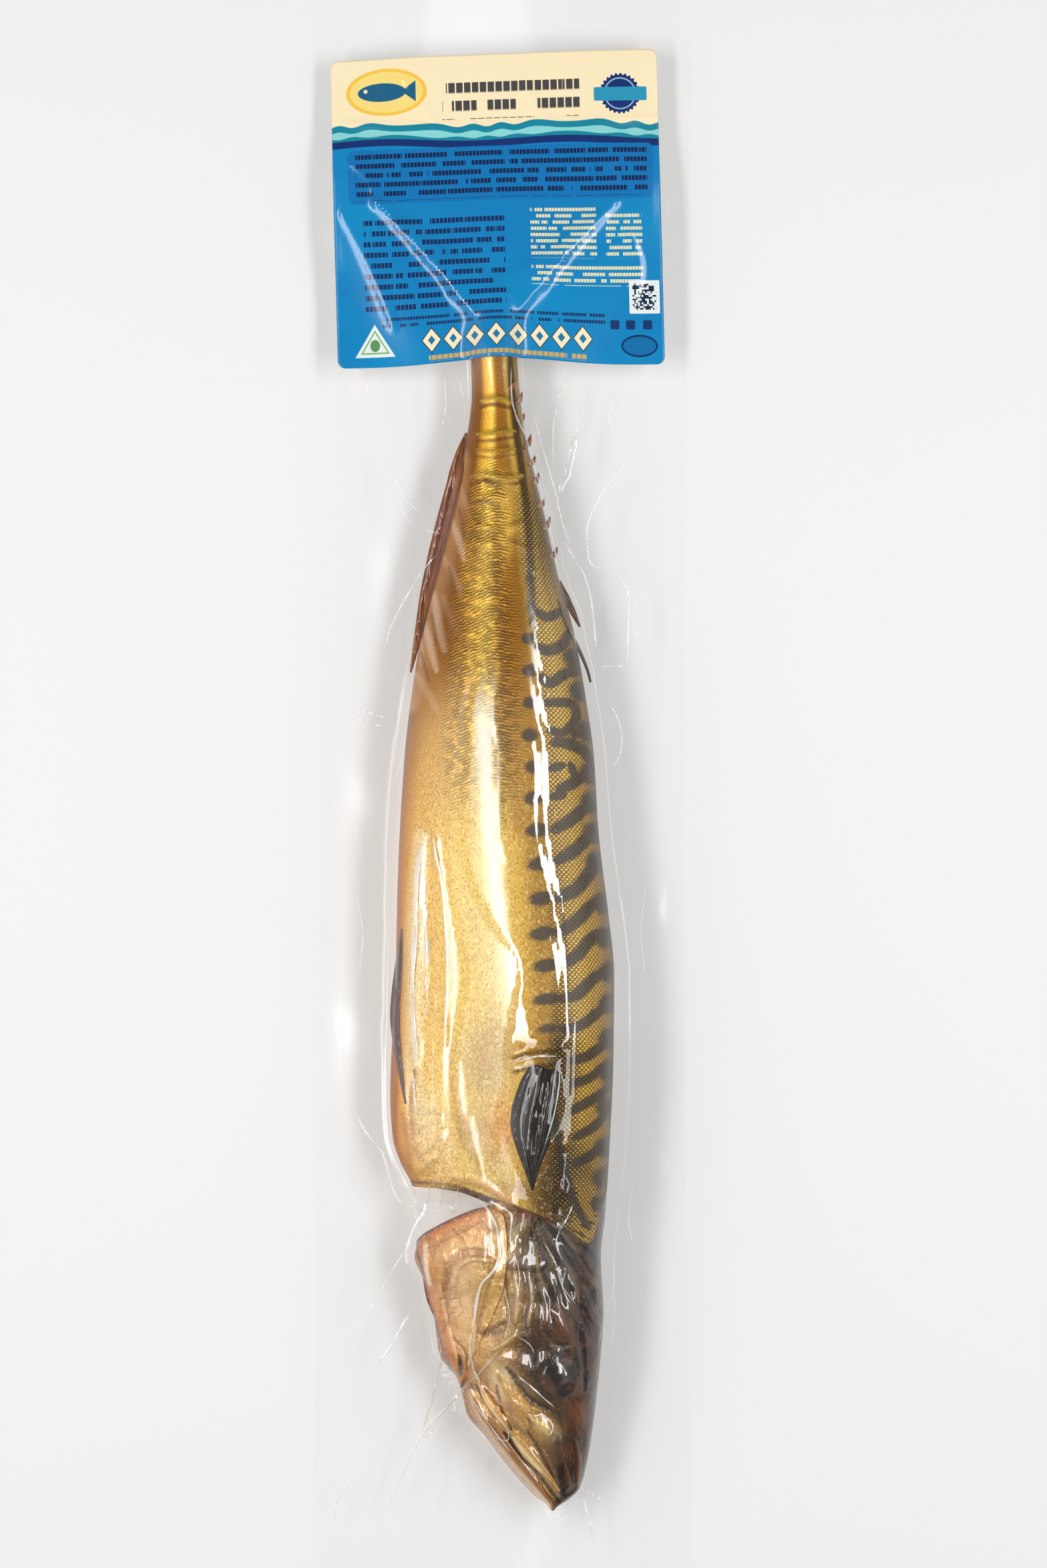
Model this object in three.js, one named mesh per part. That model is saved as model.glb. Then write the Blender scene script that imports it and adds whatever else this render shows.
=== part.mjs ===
// A whole smoked mackerel in a clear vacuum pouch, with a printed label stuck over its tail.
// Millimetres. The pack lies on one flank: +Z up, +Y towards the tail, +X towards the fish's back.
// The origin is under the middle of the pack, on the surface that it lies on.
import * as THREE from "three";

// The pouch: two films sealed all round, drawn tight over the fish.
const POUCH_LENGTH = 486;
const POUCH_END_WIDTH = 117;
const POUCH_WAIST_WIDTH = 111;
const MARGIN_THICKNESS = 1.2;
const MARGIN_SAG = 2.6;
const MARGIN_SAG_SPAN = 24;
const MARGIN_WAVE_HEIGHT = 0.7;
const MARGIN_WAVE_LENGTH = 74;
const MARGIN_WAVE_SLANT = 40;

// The label: a sheet, a little out of square, that bends over the tail's ridge.
const LABEL_WIDTH = 100;
const LABEL_LEFT_HEIGHT = 94.5;
const LABEL_RIGHT_HEIGHT = 97;
const LABEL_CENTRE_X = -1.4;
const LABEL_CENTRE_Y = 175.5;
const LABEL_TURN = THREE.MathUtils.degToRad(1.5);
const LABEL_THICKNESS = 0.5;
const LABEL_CORNER_RADIUS = 2.5;
const LABEL_EDGE_LIFT = 2.4;
const LABEL_EDGE_LIFT_SPAN = 22;
const LABEL_GAP = 0.3;

// The fish's outline under the film, as pairs of y and x from the tail end to the snout end.
const BELLY_LINE = [
  [243, -20], [200, -30], [182, -38], [172, -38], [156, -28], [129, -19], [112, -15], [96, -16],
  [82, -20], [58, -24.5], [20, -28.5], [-28, -31.7], [-70, -33], [-96, -34.2], [-110, -33.4],
  [-119, -30], [-132, -26.8], [-144, -26.6], [-156, -22], [-174, -19.2], [-186, -12.6],
  [-199, -5.6], [-211, 5], [-224, 13], [-243, 12],
];
const BACK_LINE = [
  [243, 18], [200, 26], [182, 36], [172, 36], [156, 28], [129, 24], [112, 17], [95, 13],
  [70, 18], [45, 25], [9, 30.5], [-40, 35.8], [-62, 36.8], [-95, 36.2], [-131, 34.2],
  [-162, 33.8], [-186, 31.5], [-205, 28.2], [-217, 25.5], [-243, 22],
];

// Heights along the fish: the seam of the two films above the surface, the upper flank above
// the seam, and the lower flank below it, which the surface presses flat.
const SEAM_HEIGHT = [
  [243, 9], [180, 11.5], [129, 12.5], [60, 13.5], [0, 14.5], [-60, 15], [-120, 14.5],
  [-180, 12.5], [-221, 9.5], [-243, 7.5],
];
const UPPER_FLANK = [
  [243, 0], [190, 0], [176, 1.3], [150, 2.4], [140, 4], [129, 6.2], [113, 7.5], [90, 10.5],
  [60, 14.5], [30, 18.5], [0, 21], [-40, 23], [-80, 23.5], [-110, 22.6], [-135, 20.6],
  [-160, 19.6], [-180, 17], [-200, 12.5], [-213, 8.6], [-221, 5.2], [-228, 0], [-243, 0],
];
const LOWER_FLANK = [
  [243, 0], [190, 0], [176, 1.2], [150, 2], [129, 5.5], [90, 9.5], [60, 12.8], [30, 15.6],
  [0, 17.2], [-60, 18.2], [-110, 17.6], [-150, 15.8], [-180, 13.2], [-200, 9], [-221, 4],
  [-230, 0], [-243, 0],
];

// The section's form: where its crown lies from belly to back, and how the flank comes down to
// each edge. A power of 2 is a soft tent of film, and one of 0.5 is a full round.
const CROWN_PLACE = 0.62;
const CROWN_POWER = 2.2;
const BELLY_EDGE_POWER = [[243, 2], [129, 1.7], [100, 0.9], [70, 0.72], [-215, 0.7], [-243, 1.2]];
const BACK_EDGE_POWER = [[243, 2], [129, 1.7], [100, 0.8], [70, 0.5], [-215, 0.5], [-243, 1.2]];

// The cut throat: a wedge between belly and gill cover, open at the belly's side.
const THROAT_Y = -129.5;
const THROAT_MOUTH_X = -30;
const THROAT_END_X = 2;
const THROAT_HALF_WIDTH = 8;
const THROAT_EDGE = 3.2;
const THROAT_DEPTH = 0.86;

// Low forms on the upper flank: [centre x, centre y, half width, half length, height].
const PECTORAL_FIN = [10.2, -104, 9, 21, 1.9];
const EYE = [17.6, -180.5, 8, 9, 1.6];
const GILL_COVER = [-4, -153, 19, 19, 1.4];
const JAW_GROOVE = [3, -199, 3.4, 24, -1.6];
const JAW_TURN = THREE.MathUtils.degToRad(34);

// Mesh divisions: columns of each margin, of the fish, and row steps where detail is fine or not.
const MARGIN_COLUMNS = 4;
const FISH_COLUMNS = 15;
const FINE_ROW_STEP = 4;
const COARSE_ROW_STEP = 6.8;
const FINE_ROWS_BELOW_Y = -84;
const LABEL_COLUMNS = 26;
const LABEL_ROWS = 16;

/** A smooth curve through stations of falling y: cubic pieces that never overshoot a station. */
function curveThrough(stations) {
  const ys = stations.map((station) => station[0]);
  const values = stations.map((station) => station[1]);
  const slopes = ys.slice(1).map((y, i) => (values[i + 1] - values[i]) / (y - ys[i]));
  const tangentAt = (i) => {
    const before = slopes[i - 1];
    const after = slopes[i];
    if (before === undefined || after === undefined || before * after <= 0) return 0;
    return (2 * before * after) / (before + after);
  };
  return (y) => {
    const inside = THREE.MathUtils.clamp(y, ys.at(-1), ys[0]);
    const i = Math.max(0, ys.findIndex((station) => station <= inside) - 1);
    const span = ys[i + 1] - ys[i];
    const t = (inside - ys[i]) / span;
    const rise = values[i + 1] - values[i];
    const start = tangentAt(i) * span;
    const end = tangentAt(i + 1) * span;
    return values[i] + t * (start + t * (3 * rise - 2 * start - end + t * (start + end - 2 * rise)));
  };
}

const bellyX = curveThrough(BELLY_LINE);
const backX = curveThrough(BACK_LINE);
const seamHeight = curveThrough(SEAM_HEIGHT);
const upperFlank = curveThrough(UPPER_FLANK);
const lowerFlank = curveThrough(LOWER_FLANK);
const bellyEdgePower = curveThrough(BELLY_EDGE_POWER);
const backEdgePower = curveThrough(BACK_EDGE_POWER);

/** Half the pouch's width: widest at its ends, drawn in where the fish is thick. */
function pouchHalfWidth(y) {
  const endness = Math.pow(Math.abs(y) / (POUCH_LENGTH / 2), 2);
  return THREE.MathUtils.lerp(POUCH_WAIST_WIDTH, POUCH_END_WIDTH, endness) / 2;
}

/** The section's form from 0 at either edge of the fish to 1 at its crown. */
function sectionForm(x, y) {
  const across = (x - bellyX(y)) / (backX(y) - bellyX(y));
  if (across <= 0 || across >= 1) return 0;
  const onBelly = across < CROWN_PLACE;
  const reach = onBelly ? CROWN_PLACE : 1 - CROWN_PLACE;
  const fromCrown = Math.abs(across - CROWN_PLACE) / reach;
  const power = onBelly ? bellyEdgePower(y) : backEdgePower(y);
  return Math.pow(1 - Math.pow(fromCrown, CROWN_POWER), power);
}

/** The share of the fish that the throat's wedge leaves: 1 outside it, least along its middle. */
function throatShare(x, y) {
  const along = THREE.MathUtils.clamp((THROAT_END_X - x) / (THROAT_END_X - THROAT_MOUTH_X), 0, 1);
  const halfWidth = THROAT_HALF_WIDTH * along;
  const inside = (halfWidth - Math.abs(y - THROAT_Y)) / THROAT_EDGE;
  return 1 - THROAT_DEPTH * THREE.MathUtils.smoothstep(inside, 0, 1) * Math.sqrt(along);
}

/** A rounded mound (or a hollow, where its height is negative), turned about its centre. */
function mound(x, y, [centreX, centreY, halfWidth, halfLength, height], turn = 0) {
  const dx = x - centreX;
  const dy = y - centreY;
  const across = (dx * Math.cos(turn) + dy * Math.sin(turn)) / halfWidth;
  const along = (dy * Math.cos(turn) - dx * Math.sin(turn)) / halfLength;
  return height * Math.pow(Math.max(0, 1 - across * across - along * along), 0.8);
}

/** The height of the pouch's seam: level at the fish, sagging and waving towards the edges. */
function seamZ(x, y) {
  const outside = Math.max(bellyX(y) - x, x - backX(y), 0);
  const away = THREE.MathUtils.smoothstep(outside, 0, MARGIN_SAG_SPAN);
  const wave = Math.sin((2 * Math.PI * y) / MARGIN_WAVE_LENGTH + x / MARGIN_WAVE_SLANT);
  return seamHeight(y) + away * (MARGIN_WAVE_HEIGHT * wave - MARGIN_SAG);
}

/** The pouch's upper face: the margin, and the fish's flank with its low forms. */
function upperZ(x, y) {
  const form = sectionForm(x, y);
  const relief = mound(x, y, PECTORAL_FIN) + mound(x, y, EYE) + mound(x, y, GILL_COVER)
    + mound(x, y, JAW_GROOVE, JAW_TURN);
  const flank = upperFlank(y) * form * throatShare(x, y) + relief * Math.sqrt(form);
  return seamZ(x, y) + MARGIN_THICKNESS / 2 + flank;
}

/** The pouch's lower face, flat where the fish's weight presses it on the surface. */
function lowerZ(x, y) {
  const flank = lowerFlank(y) * sectionForm(x, y) * throatShare(x, y);
  return Math.max(0, seamZ(x, y) - MARGIN_THICKNESS / 2 - flank);
}

/** A closed sheet: a grid of points with an upper and a lower height, walled along its border. */
function closedSheet(columns, rows, pointAt) {
  const positions = [];
  for (let j = 0; j <= rows; j += 1) {
    for (let i = 0; i <= columns; i += 1) {
      const { x, y, top, bottom } = pointAt(i / columns, j / rows, i, j);
      positions.push(x, y, top, x, y, bottom);
    }
  }
  const upper = (i, j) => 2 * (j * (columns + 1) + i);
  const lower = (i, j) => upper(i, j) + 1;
  const indices = [];
  const quad = (a, b, c, d) => indices.push(a, b, c, a, c, d);
  for (let j = 0; j < rows; j += 1) {
    for (let i = 0; i < columns; i += 1) {
      quad(upper(i, j), upper(i, j + 1), upper(i + 1, j + 1), upper(i + 1, j));
      quad(lower(i, j), lower(i + 1, j), lower(i + 1, j + 1), lower(i, j + 1));
    }
    quad(lower(0, j), lower(0, j + 1), upper(0, j + 1), upper(0, j));
    quad(upper(columns, j), upper(columns, j + 1), lower(columns, j + 1), lower(columns, j));
  }
  for (let i = 0; i < columns; i += 1) {
    quad(upper(i, 0), upper(i + 1, 0), lower(i + 1, 0), lower(i, 0));
    quad(lower(i, rows), lower(i + 1, rows), upper(i + 1, rows), upper(i, rows));
  }
  const geometry = new THREE.BufferGeometry();
  geometry.setAttribute("position", new THREE.Float32BufferAttribute(positions, 3));
  geometry.setIndex(indices);
  geometry.computeVertexNormals();
  return geometry;
}

/** The y of each row of the pouch from tail end to snout end, closer together at the head. */
function rowPlaces() {
  const half = POUCH_LENGTH / 2;
  const coarseRows = Math.round((half - FINE_ROWS_BELOW_Y) / COARSE_ROW_STEP);
  const fineRows = Math.round((FINE_ROWS_BELOW_Y + half) / FINE_ROW_STEP);
  const places = [];
  for (let j = 0; j < coarseRows; j += 1) {
    places.push(THREE.MathUtils.lerp(half, FINE_ROWS_BELOW_Y, j / coarseRows));
  }
  for (let j = 0; j <= fineRows; j += 1) {
    places.push(THREE.MathUtils.lerp(FINE_ROWS_BELOW_Y, -half, j / fineRows));
  }
  return places;
}

/** The x of one column: the margins are divided evenly, the fish more finely at its edges. */
function columnX(i, y) {
  const half = pouchHalfWidth(y);
  const fishEnd = MARGIN_COLUMNS + FISH_COLUMNS;
  if (i <= MARGIN_COLUMNS) return THREE.MathUtils.lerp(-half, bellyX(y), i / MARGIN_COLUMNS);
  if (i >= fishEnd) return THREE.MathUtils.lerp(backX(y), half, (i - fishEnd) / MARGIN_COLUMNS);
  const share = (i - MARGIN_COLUMNS) / FISH_COLUMNS;
  const eased = THREE.MathUtils.lerp(share, (1 - Math.cos(Math.PI * share)) / 2, 0.6);
  return THREE.MathUtils.lerp(bellyX(y), backX(y), eased);
}

function makePouch() {
  const places = rowPlaces();
  const geometry = closedSheet(2 * MARGIN_COLUMNS + FISH_COLUMNS, places.length - 1, (u, v, i, j) => {
    const y = places[j];
    const x = columnX(i, y);
    return { x, y, top: upperZ(x, y), bottom: lowerZ(x, y) };
  });
  const material = new THREE.MeshStandardMaterial({ color: 0xb98a2e, roughness: 0.3, metalness: 0.2 });
  const mesh = new THREE.Mesh(geometry, material);
  mesh.name = "pouch";
  return mesh;
}

/** A point of the label in the pack's plane, from shares across it and down it. */
function labelPoint(u, v) {
  const height = THREE.MathUtils.lerp(LABEL_LEFT_HEIGHT, LABEL_RIGHT_HEIGHT, u);
  const halfWidth = LABEL_WIDTH / 2;
  let across = LABEL_WIDTH * u - halfWidth;
  let down = height * (v - 0.5);
  const overX = Math.abs(across) - (halfWidth - LABEL_CORNER_RADIUS);
  const overY = Math.abs(down) - (height / 2 - LABEL_CORNER_RADIUS);
  if (overX > 0 && overY > 0) {
    const pull = Math.max(overX, overY) / Math.hypot(overX, overY);
    across -= Math.sign(across) * overX * (1 - pull);
    down -= Math.sign(down) * overY * (1 - pull);
  }
  const x = LABEL_CENTRE_X + across * Math.cos(LABEL_TURN) + down * Math.sin(LABEL_TURN);
  const y = LABEL_CENTRE_Y + across * Math.sin(LABEL_TURN) - down * Math.cos(LABEL_TURN);
  const lift = LABEL_EDGE_LIFT * Math.exp(-Math.pow(x / LABEL_EDGE_LIFT_SPAN, 2)) * v * v;
  return { x, y: y + lift };
}

/** Shares from 0 to 1 with one short step at each end, so that corners come out round. */
function edgedShare(index, count, edge) {
  if (index === 0 || index === count) return index / count;
  return THREE.MathUtils.lerp(edge, 1 - edge, (index - 1) / (count - 2));
}

function makeLabel() {
  const geometry = closedSheet(LABEL_COLUMNS, LABEL_ROWS, (u, v, i, j) => {
    const { x, y } = labelPoint(
      edgedShare(i, LABEL_COLUMNS, LABEL_CORNER_RADIUS / LABEL_WIDTH),
      edgedShare(j, LABEL_ROWS, LABEL_CORNER_RADIUS / LABEL_RIGHT_HEIGHT),
    );
    const bottom = upperZ(x, y) + LABEL_GAP;
    return { x, y, top: bottom + LABEL_THICKNESS, bottom };
  });
  const material = new THREE.MeshStandardMaterial({ color: 0x0079b0, roughness: 0.35, metalness: 0 });
  const mesh = new THREE.Mesh(geometry, material);
  mesh.name = "label";
  return mesh;
}

const pack = new THREE.Group();
pack.add(makePouch(), makeLabel());

export default pack;
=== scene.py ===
"""A smoked mackerel in a clear vacuum pouch with a printed label, on a pale studio floor.

Lengths are worked out in millimetres and put into the meshes in metres. +Y is towards the tail,
+X towards the fish's back and +Z up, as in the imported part.
"""

import math

import bpy
import numpy as np
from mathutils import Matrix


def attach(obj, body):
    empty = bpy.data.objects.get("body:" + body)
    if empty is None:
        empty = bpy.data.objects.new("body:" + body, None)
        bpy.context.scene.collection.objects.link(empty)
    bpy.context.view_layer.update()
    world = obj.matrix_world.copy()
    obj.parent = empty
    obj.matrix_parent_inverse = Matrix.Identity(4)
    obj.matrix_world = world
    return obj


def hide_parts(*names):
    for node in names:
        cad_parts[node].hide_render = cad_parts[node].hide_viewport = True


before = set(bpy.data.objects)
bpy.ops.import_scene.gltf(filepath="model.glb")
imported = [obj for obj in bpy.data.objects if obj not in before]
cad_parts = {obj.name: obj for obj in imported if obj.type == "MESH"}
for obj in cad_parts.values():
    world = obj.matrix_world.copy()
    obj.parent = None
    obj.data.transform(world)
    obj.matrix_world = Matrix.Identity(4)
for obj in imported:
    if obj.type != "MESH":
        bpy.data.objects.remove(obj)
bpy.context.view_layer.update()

# ---------------------------------------------------------------------------------------------
# Fish body. The flank of a whole mackerel from the root of its tail to the cut behind its head,
# cold-smoked to a metallic gold. It lies on its other flank, pressed flat by its weight.
# ---------------------------------------------------------------------------------------------


def curve_through(stations):
    """A smooth curve through pairs of y and value: cubic pieces whose slope at a station is the
    harmonic mean of the slopes beside it, or level where they turn, so that none overshoots."""
    ys, values = np.array(sorted(stations), float).T
    steps = np.diff(ys)
    slopes = np.diff(values) / steps
    turning = slopes[:-1] * slopes[1:] <= 0
    both = np.where(turning, 1.0, slopes[:-1] + slopes[1:])
    tangents = np.zeros(len(ys))
    tangents[1:-1] = np.where(turning, 0.0, 2 * slopes[:-1] * slopes[1:] / both)

    def value_at(y):
        inside = np.clip(y, ys[0], ys[-1])
        i = np.clip(np.searchsorted(ys, inside) - 1, 0, len(steps) - 1)
        t = (inside - ys[i]) / steps[i]
        rise = values[i + 1] - values[i]
        start, end = tangents[i] * steps[i], tangents[i + 1] * steps[i]
        bend = 3 * rise - 2 * start - end + t * (start + end - 2 * rise)
        return values[i] + t * (start + t * bend)

    return value_at


belly_x = curve_through([
    (150, -8), (134, -9.5), (119, -9.2), (107, -10.5), (84, -16), (58, -22), (34, -26.5),
    (9, -29.6), (-28, -31.7), (-58, -32.4), (-95, -34), (-108, -33.2), (-115, -31), (-123, -27.2),
    (-137.6, -25.4), (-144, -26.6), (-150, -24.3), (-156, -21.5), (-168, -20), (-174.3, -19),
    (-178, -16.5), (-181, -13.8), (-186.5, -12.1), (-192.6, -10.5), (-198.7, -5.6),
    (-208.5, 1.7), (-217.3, 9.5), (-221.6, 14.4),
])
back_x = curve_through([
    (150, 5), (134, 4.5), (119, 5.5), (107, 7), (95, 9.8), (82, 13), (64, 17), (46, 22),
    (21, 26.4), (9, 28), (-15, 29.5), (-40, 32.5), (-58, 34.2), (-83, 34), (-107, 33),
    (-131, 31.5), (-144, 30.2), (-162, 31), (-174, 30.2), (-186, 29), (-199, 27.4),
    (-211, 25.2), (-215.5, 23.6), (-218.5, 20.6), (-221.6, 16.4),
])
seam_height = curve_through([
    (243, 9), (180, 11.5), (129, 12.5), (60, 13.5), (0, 14.5), (-60, 15), (-120, 14.5),
    (-180, 12.5), (-221, 9.5), (-243, 7.5),
])
upper_flank = curve_through([
    (243, 0), (190, 0), (176, 1.3), (150, 2.4), (140, 4), (129, 6.2), (113, 7.5), (90, 10.5),
    (60, 14.5), (30, 18.5), (0, 21), (-40, 23), (-80, 23.5), (-110, 22.6), (-135, 20.6),
    (-160, 19.6), (-180, 17), (-200, 12.5), (-213, 8.6), (-221.6, 5.2),
])
lower_flank = curve_through([
    (243, 0), (190, 0), (176, 1.2), (150, 2), (129, 5.5), (90, 9.5), (60, 12.8), (30, 15.6),
    (0, 17.2), (-60, 18.2), (-110, 17.6), (-150, 15.8), (-180, 13.2), (-200, 9), (-221.6, 4),
])
crown_place = curve_through([
    (243, 0.5), (129, 0.55), (56, 0.6), (21, 0.56), (0, 0.56), (-26, 0.6), (-43, 0.62),
    (-65, 0.68), (-80, 0.73), (-110, 0.72), (-135, 0.68), (-180, 0.62), (-221, 0.5),
])
ridge_softness = curve_through([
    (243, 1), (129, 0.9), (56, 0.55), (11, 0.36), (-13, 0.3), (-40, 0.21), (-60, 0.17),
    (-77, 0.165), (-110, 0.18), (-135, 0.3), (-180, 0.5), (-221, 0.7),
])
belly_slope_share = curve_through([
    (243, 0.68), (-30, 0.68), (-60, 0.74), (-78, 0.8), (-110, 0.84), (-135, 0.8), (-221, 0.78),
])
BELLY_EDGE_ROUND = 12
BACK_ROUND = 2.1


def section_form(across, y):
    """The flank's height over its seam at a share of the way from belly to back, as a part of its
    crown's. The belly side is a roof with a softened ridge, the root of t squared plus r squared,
    that rounds over at its edge, and the back side is near a quarter ellipse."""
    crown = crown_place(y)
    ridge = ridge_softness(y)
    t = np.clip((crown - across) / crown, 0, 1)
    roof = (np.sqrt(t * t + ridge * ridge) - ridge) / (np.sqrt(1 + ridge * ridge) - ridge)
    belly = (1 - belly_slope_share(y) * roof) * np.sqrt(1 - t**BELLY_EDGE_ROUND)
    s = np.clip((across - crown) / (1 - crown), 0, 1)
    back = np.sqrt(1 - s**BACK_ROUND)
    return np.where(across < crown, belly, back)


def smooth_line(points, steps=5):
    """Points of a Catmull-Rom curve through the given ones: each piece leaves a point along the
    line between its two neighbours."""
    knots = np.array(points, float)
    padded = np.vstack([2 * knots[0] - knots[1], knots, 2 * knots[-1] - knots[-2]])
    t = (np.arange((len(knots) - 1) * steps + 1) / steps)[:, None]
    i = np.minimum(t.astype(int), len(knots) - 2)
    t = t - i
    a, b, c, d = (padded[i[:, 0] + k] for k in range(4))
    return b + t / 2 * (c - a + t * (2 * a - 5 * b + 4 * c - d + t * (3 * (b - c) + d - a)))


def line_distance(x, y, points, reach):
    """The distance from a smooth line, and the share of its length, for places within reach."""
    line = smooth_line(points)
    steps = np.hypot(*np.diff(line, axis=0).T)
    shares = np.concatenate([[0], np.cumsum(steps)]) / steps.sum()
    low, high = line.min(0) - reach, line.max(0) + reach
    near = (x > low[0]) & (x < high[0]) & (y > low[1]) & (y < high[1])
    distance, share = np.full(x.shape, 1e3), np.zeros(x.shape)
    px, py = x[near], y[near]
    closest, place = np.full(px.shape, 1e3), np.zeros(px.shape)
    for (ax, ay), (bx, by), s0, s1 in zip(line, line[1:], shares, shares[1:]):
        dx, dy = bx - ax, by - ay
        t = np.clip(((px - ax) * dx + (py - ay) * dy) / (dx * dx + dy * dy), 0, 1)
        d = np.hypot(px - ax - t * dx, py - ay - t * dy)
        place = np.where(d < closest, s0 + t * (s1 - s0), place)
        closest = np.minimum(d, closest)
    distance[near], share[near] = closest, place
    return distance, share


def smooth_step(low, high, value):
    """0 below low and 1 above high, with a level start and end between them."""
    t = np.clip((value - low) / (high - low), 0, 1)
    return t * t * (3 - 2 * t)


def stroke(x, y, points, width, soft=0.6, taper=0.5):
    """The strength of a brush stroke along a smooth line: 1 at its middle, 0 past half its width,
    and as much narrower towards its ends as taper says."""
    distance, share = line_distance(x, y, points, width)
    half = width / 2 * (1 - taper + taper * np.sqrt(np.clip(4 * share * (1 - share), 0, 1)))
    return 1 - smooth_step(half * (1 - soft), half * (1 + soft), distance)


def spot(x, y, centre, half_width, half_length, turn=0.0):
    """The strength of a round dab: a bell that is flat near its centre, turned by some degrees."""
    a = math.radians(turn)
    dx, dy = x - centre[0], y - centre[1]
    across = (dx * math.cos(a) + dy * math.sin(a)) / half_width
    along = (dy * math.cos(a) - dx * math.sin(a)) / half_length
    return np.exp(-((across * across + along * along) ** 1.4))


def lumps(x, y, size, seed):
    """Smooth random heights from -1 to 1: values on a square lattice, eased from one to the
    next."""
    lattice = np.random.default_rng(seed).uniform(-1, 1, (128, 128))
    u, v = x / size + 64, y / size + 64
    i, j = np.floor(u).astype(int), np.floor(v).astype(int)
    fu, fv = smooth_step(0, 1, u - i), smooth_step(0, 1, v - j)
    i, j = i % 127, j % 127
    near = lattice[j, i] * (1 - fu) + lattice[j, i + 1] * fu
    far = lattice[j + 1, i] * (1 - fu) + lattice[j + 1, i + 1] * fu
    return near * (1 - fv) + far * fv


def pigment(red, green, blue):
    """A linear colour from the levels 0 to 255 of a screen colour."""
    level = np.array([red, green, blue], float) / 255
    return np.where(level <= 0.04045, level / 12.92, ((level + 0.055) / 1.055) ** 2.4)


def across_colours(shares, colours, across):
    """A colour for each place, passing from one to the next at the given shares across."""
    table = np.array([pigment(*c) for c in colours])
    return np.stack([np.interp(across, shares, table[:, k]) for k in range(3)], -1)


def lay_on(colour, other, strength):
    """A colour mixed towards another by a strength at each place."""
    return colour + (pigment(*other) - colour) * strength[..., None]


class Field:
    """A number, vector or colour that shader nodes work out at each place of a surface."""

    def __init__(self, socket):
        self.socket = socket

    def __add__(self, other):
        return worked_out("ADD", self, other)

    __radd__ = __add__

    def __sub__(self, other):
        return worked_out("SUBTRACT", self, other)

    def __rsub__(self, other):
        return worked_out("SUBTRACT", other, self)

    def __mul__(self, other):
        return worked_out("MULTIPLY", self, other)

    __rmul__ = __mul__

    def __truediv__(self, other):
        return worked_out("DIVIDE", self, other)


def shader_node(tree, kind, values=None, output=0, **settings):
    """One node of a shader with its settings and inputs, by name or number, as a Field."""
    node = tree.nodes.new(kind)
    for name, value in settings.items():
        setattr(node, name, value)
    for name, value in (values or {}).items():
        if isinstance(value, Field):
            tree.links.new(value.socket, node.inputs[name])
        else:
            node.inputs[name].default_value = value
    return Field(node.outputs[output])


def worked_out(operation, *values):
    """One step of arithmetic on fields and numbers."""
    tree = next(v for v in values if isinstance(v, Field)).socket.id_data
    return shader_node(tree, "ShaderNodeMath", dict(enumerate(values)), operation=operation)


def ramp(field, low, high):
    """0 where a field is below low and 1 above high, with a level start and end between them."""
    values = {"Value": field, "From Min": low, "From Max": high}
    tree = field.socket.id_data
    return shader_node(tree, "ShaderNodeMapRange", values, interpolation_type="SMOOTHSTEP")


def mixed(strength, first, second):
    """A colour between two, by a field from 0 to 1."""
    values = {0: strength, 6: first, 7: second}
    tree = strength.socket.id_data
    return shader_node(tree, "ShaderNodeMix", values, output=2, data_type="RGBA")


def solid_colour(red, green, blue):
    """A screen colour as a shader socket takes it."""
    return (*pigment(red, green, blue), 1.0)


def new_finish(name):
    """A new material without nodes, its node tree, and its output."""
    material = bpy.data.materials.new(name)
    material.use_nodes = True
    tree = material.node_tree
    tree.nodes.clear()
    return material, tree, tree.nodes.new("ShaderNodeOutputMaterial")


def noise(tree, vector, scale, detail=2.0, roughness=0.5, distortion=0.0):
    """A field of soft noise, 0 to 1, of a given number of waves a unit of its vector."""
    values = {"Vector": vector, "Scale": scale, "Detail": detail, "Roughness": roughness}
    values["Distortion"] = distortion
    return shader_node(tree, "ShaderNodeTexNoise", values)


def stretched(tree, vector, scale):
    """A vector with each of its parts multiplied."""
    values = {0: vector, 1: scale}
    return shader_node(tree, "ShaderNodeVectorMath", values, operation="MULTIPLY")


def surface_map(tree):
    """A piece's own flat map, and its two parts: how far across, and how far along."""
    flat = shader_node(tree, "ShaderNodeUVMap", uv_map="surface")
    parts = tree.nodes.new("ShaderNodeSeparateXYZ")
    tree.links.new(flat.socket, parts.inputs[0])
    return flat, Field(parts.outputs[0]), Field(parts.outputs[1])


def raised(tree, height, strength, distance):
    """A bump whose full height is so many metres."""
    values = {"Height": height, "Strength": strength, "Distance": distance}
    return shader_node(tree, "ShaderNodeBump", values)


def coated(tree, output, values):
    """A solid surface with these inputs, as all that a material shows."""
    surface = shader_node(tree, "ShaderNodeBsdfPrincipled", values)
    tree.links.new(surface.socket, output.inputs[0])


def laid_over(base, coats):
    """A colour with coats of screen colours over it, each with the field of its strength."""
    for strength, colour in coats:
        base = mixed(strength, base, solid_colour(*colour))
    return base


contents = []


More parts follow.
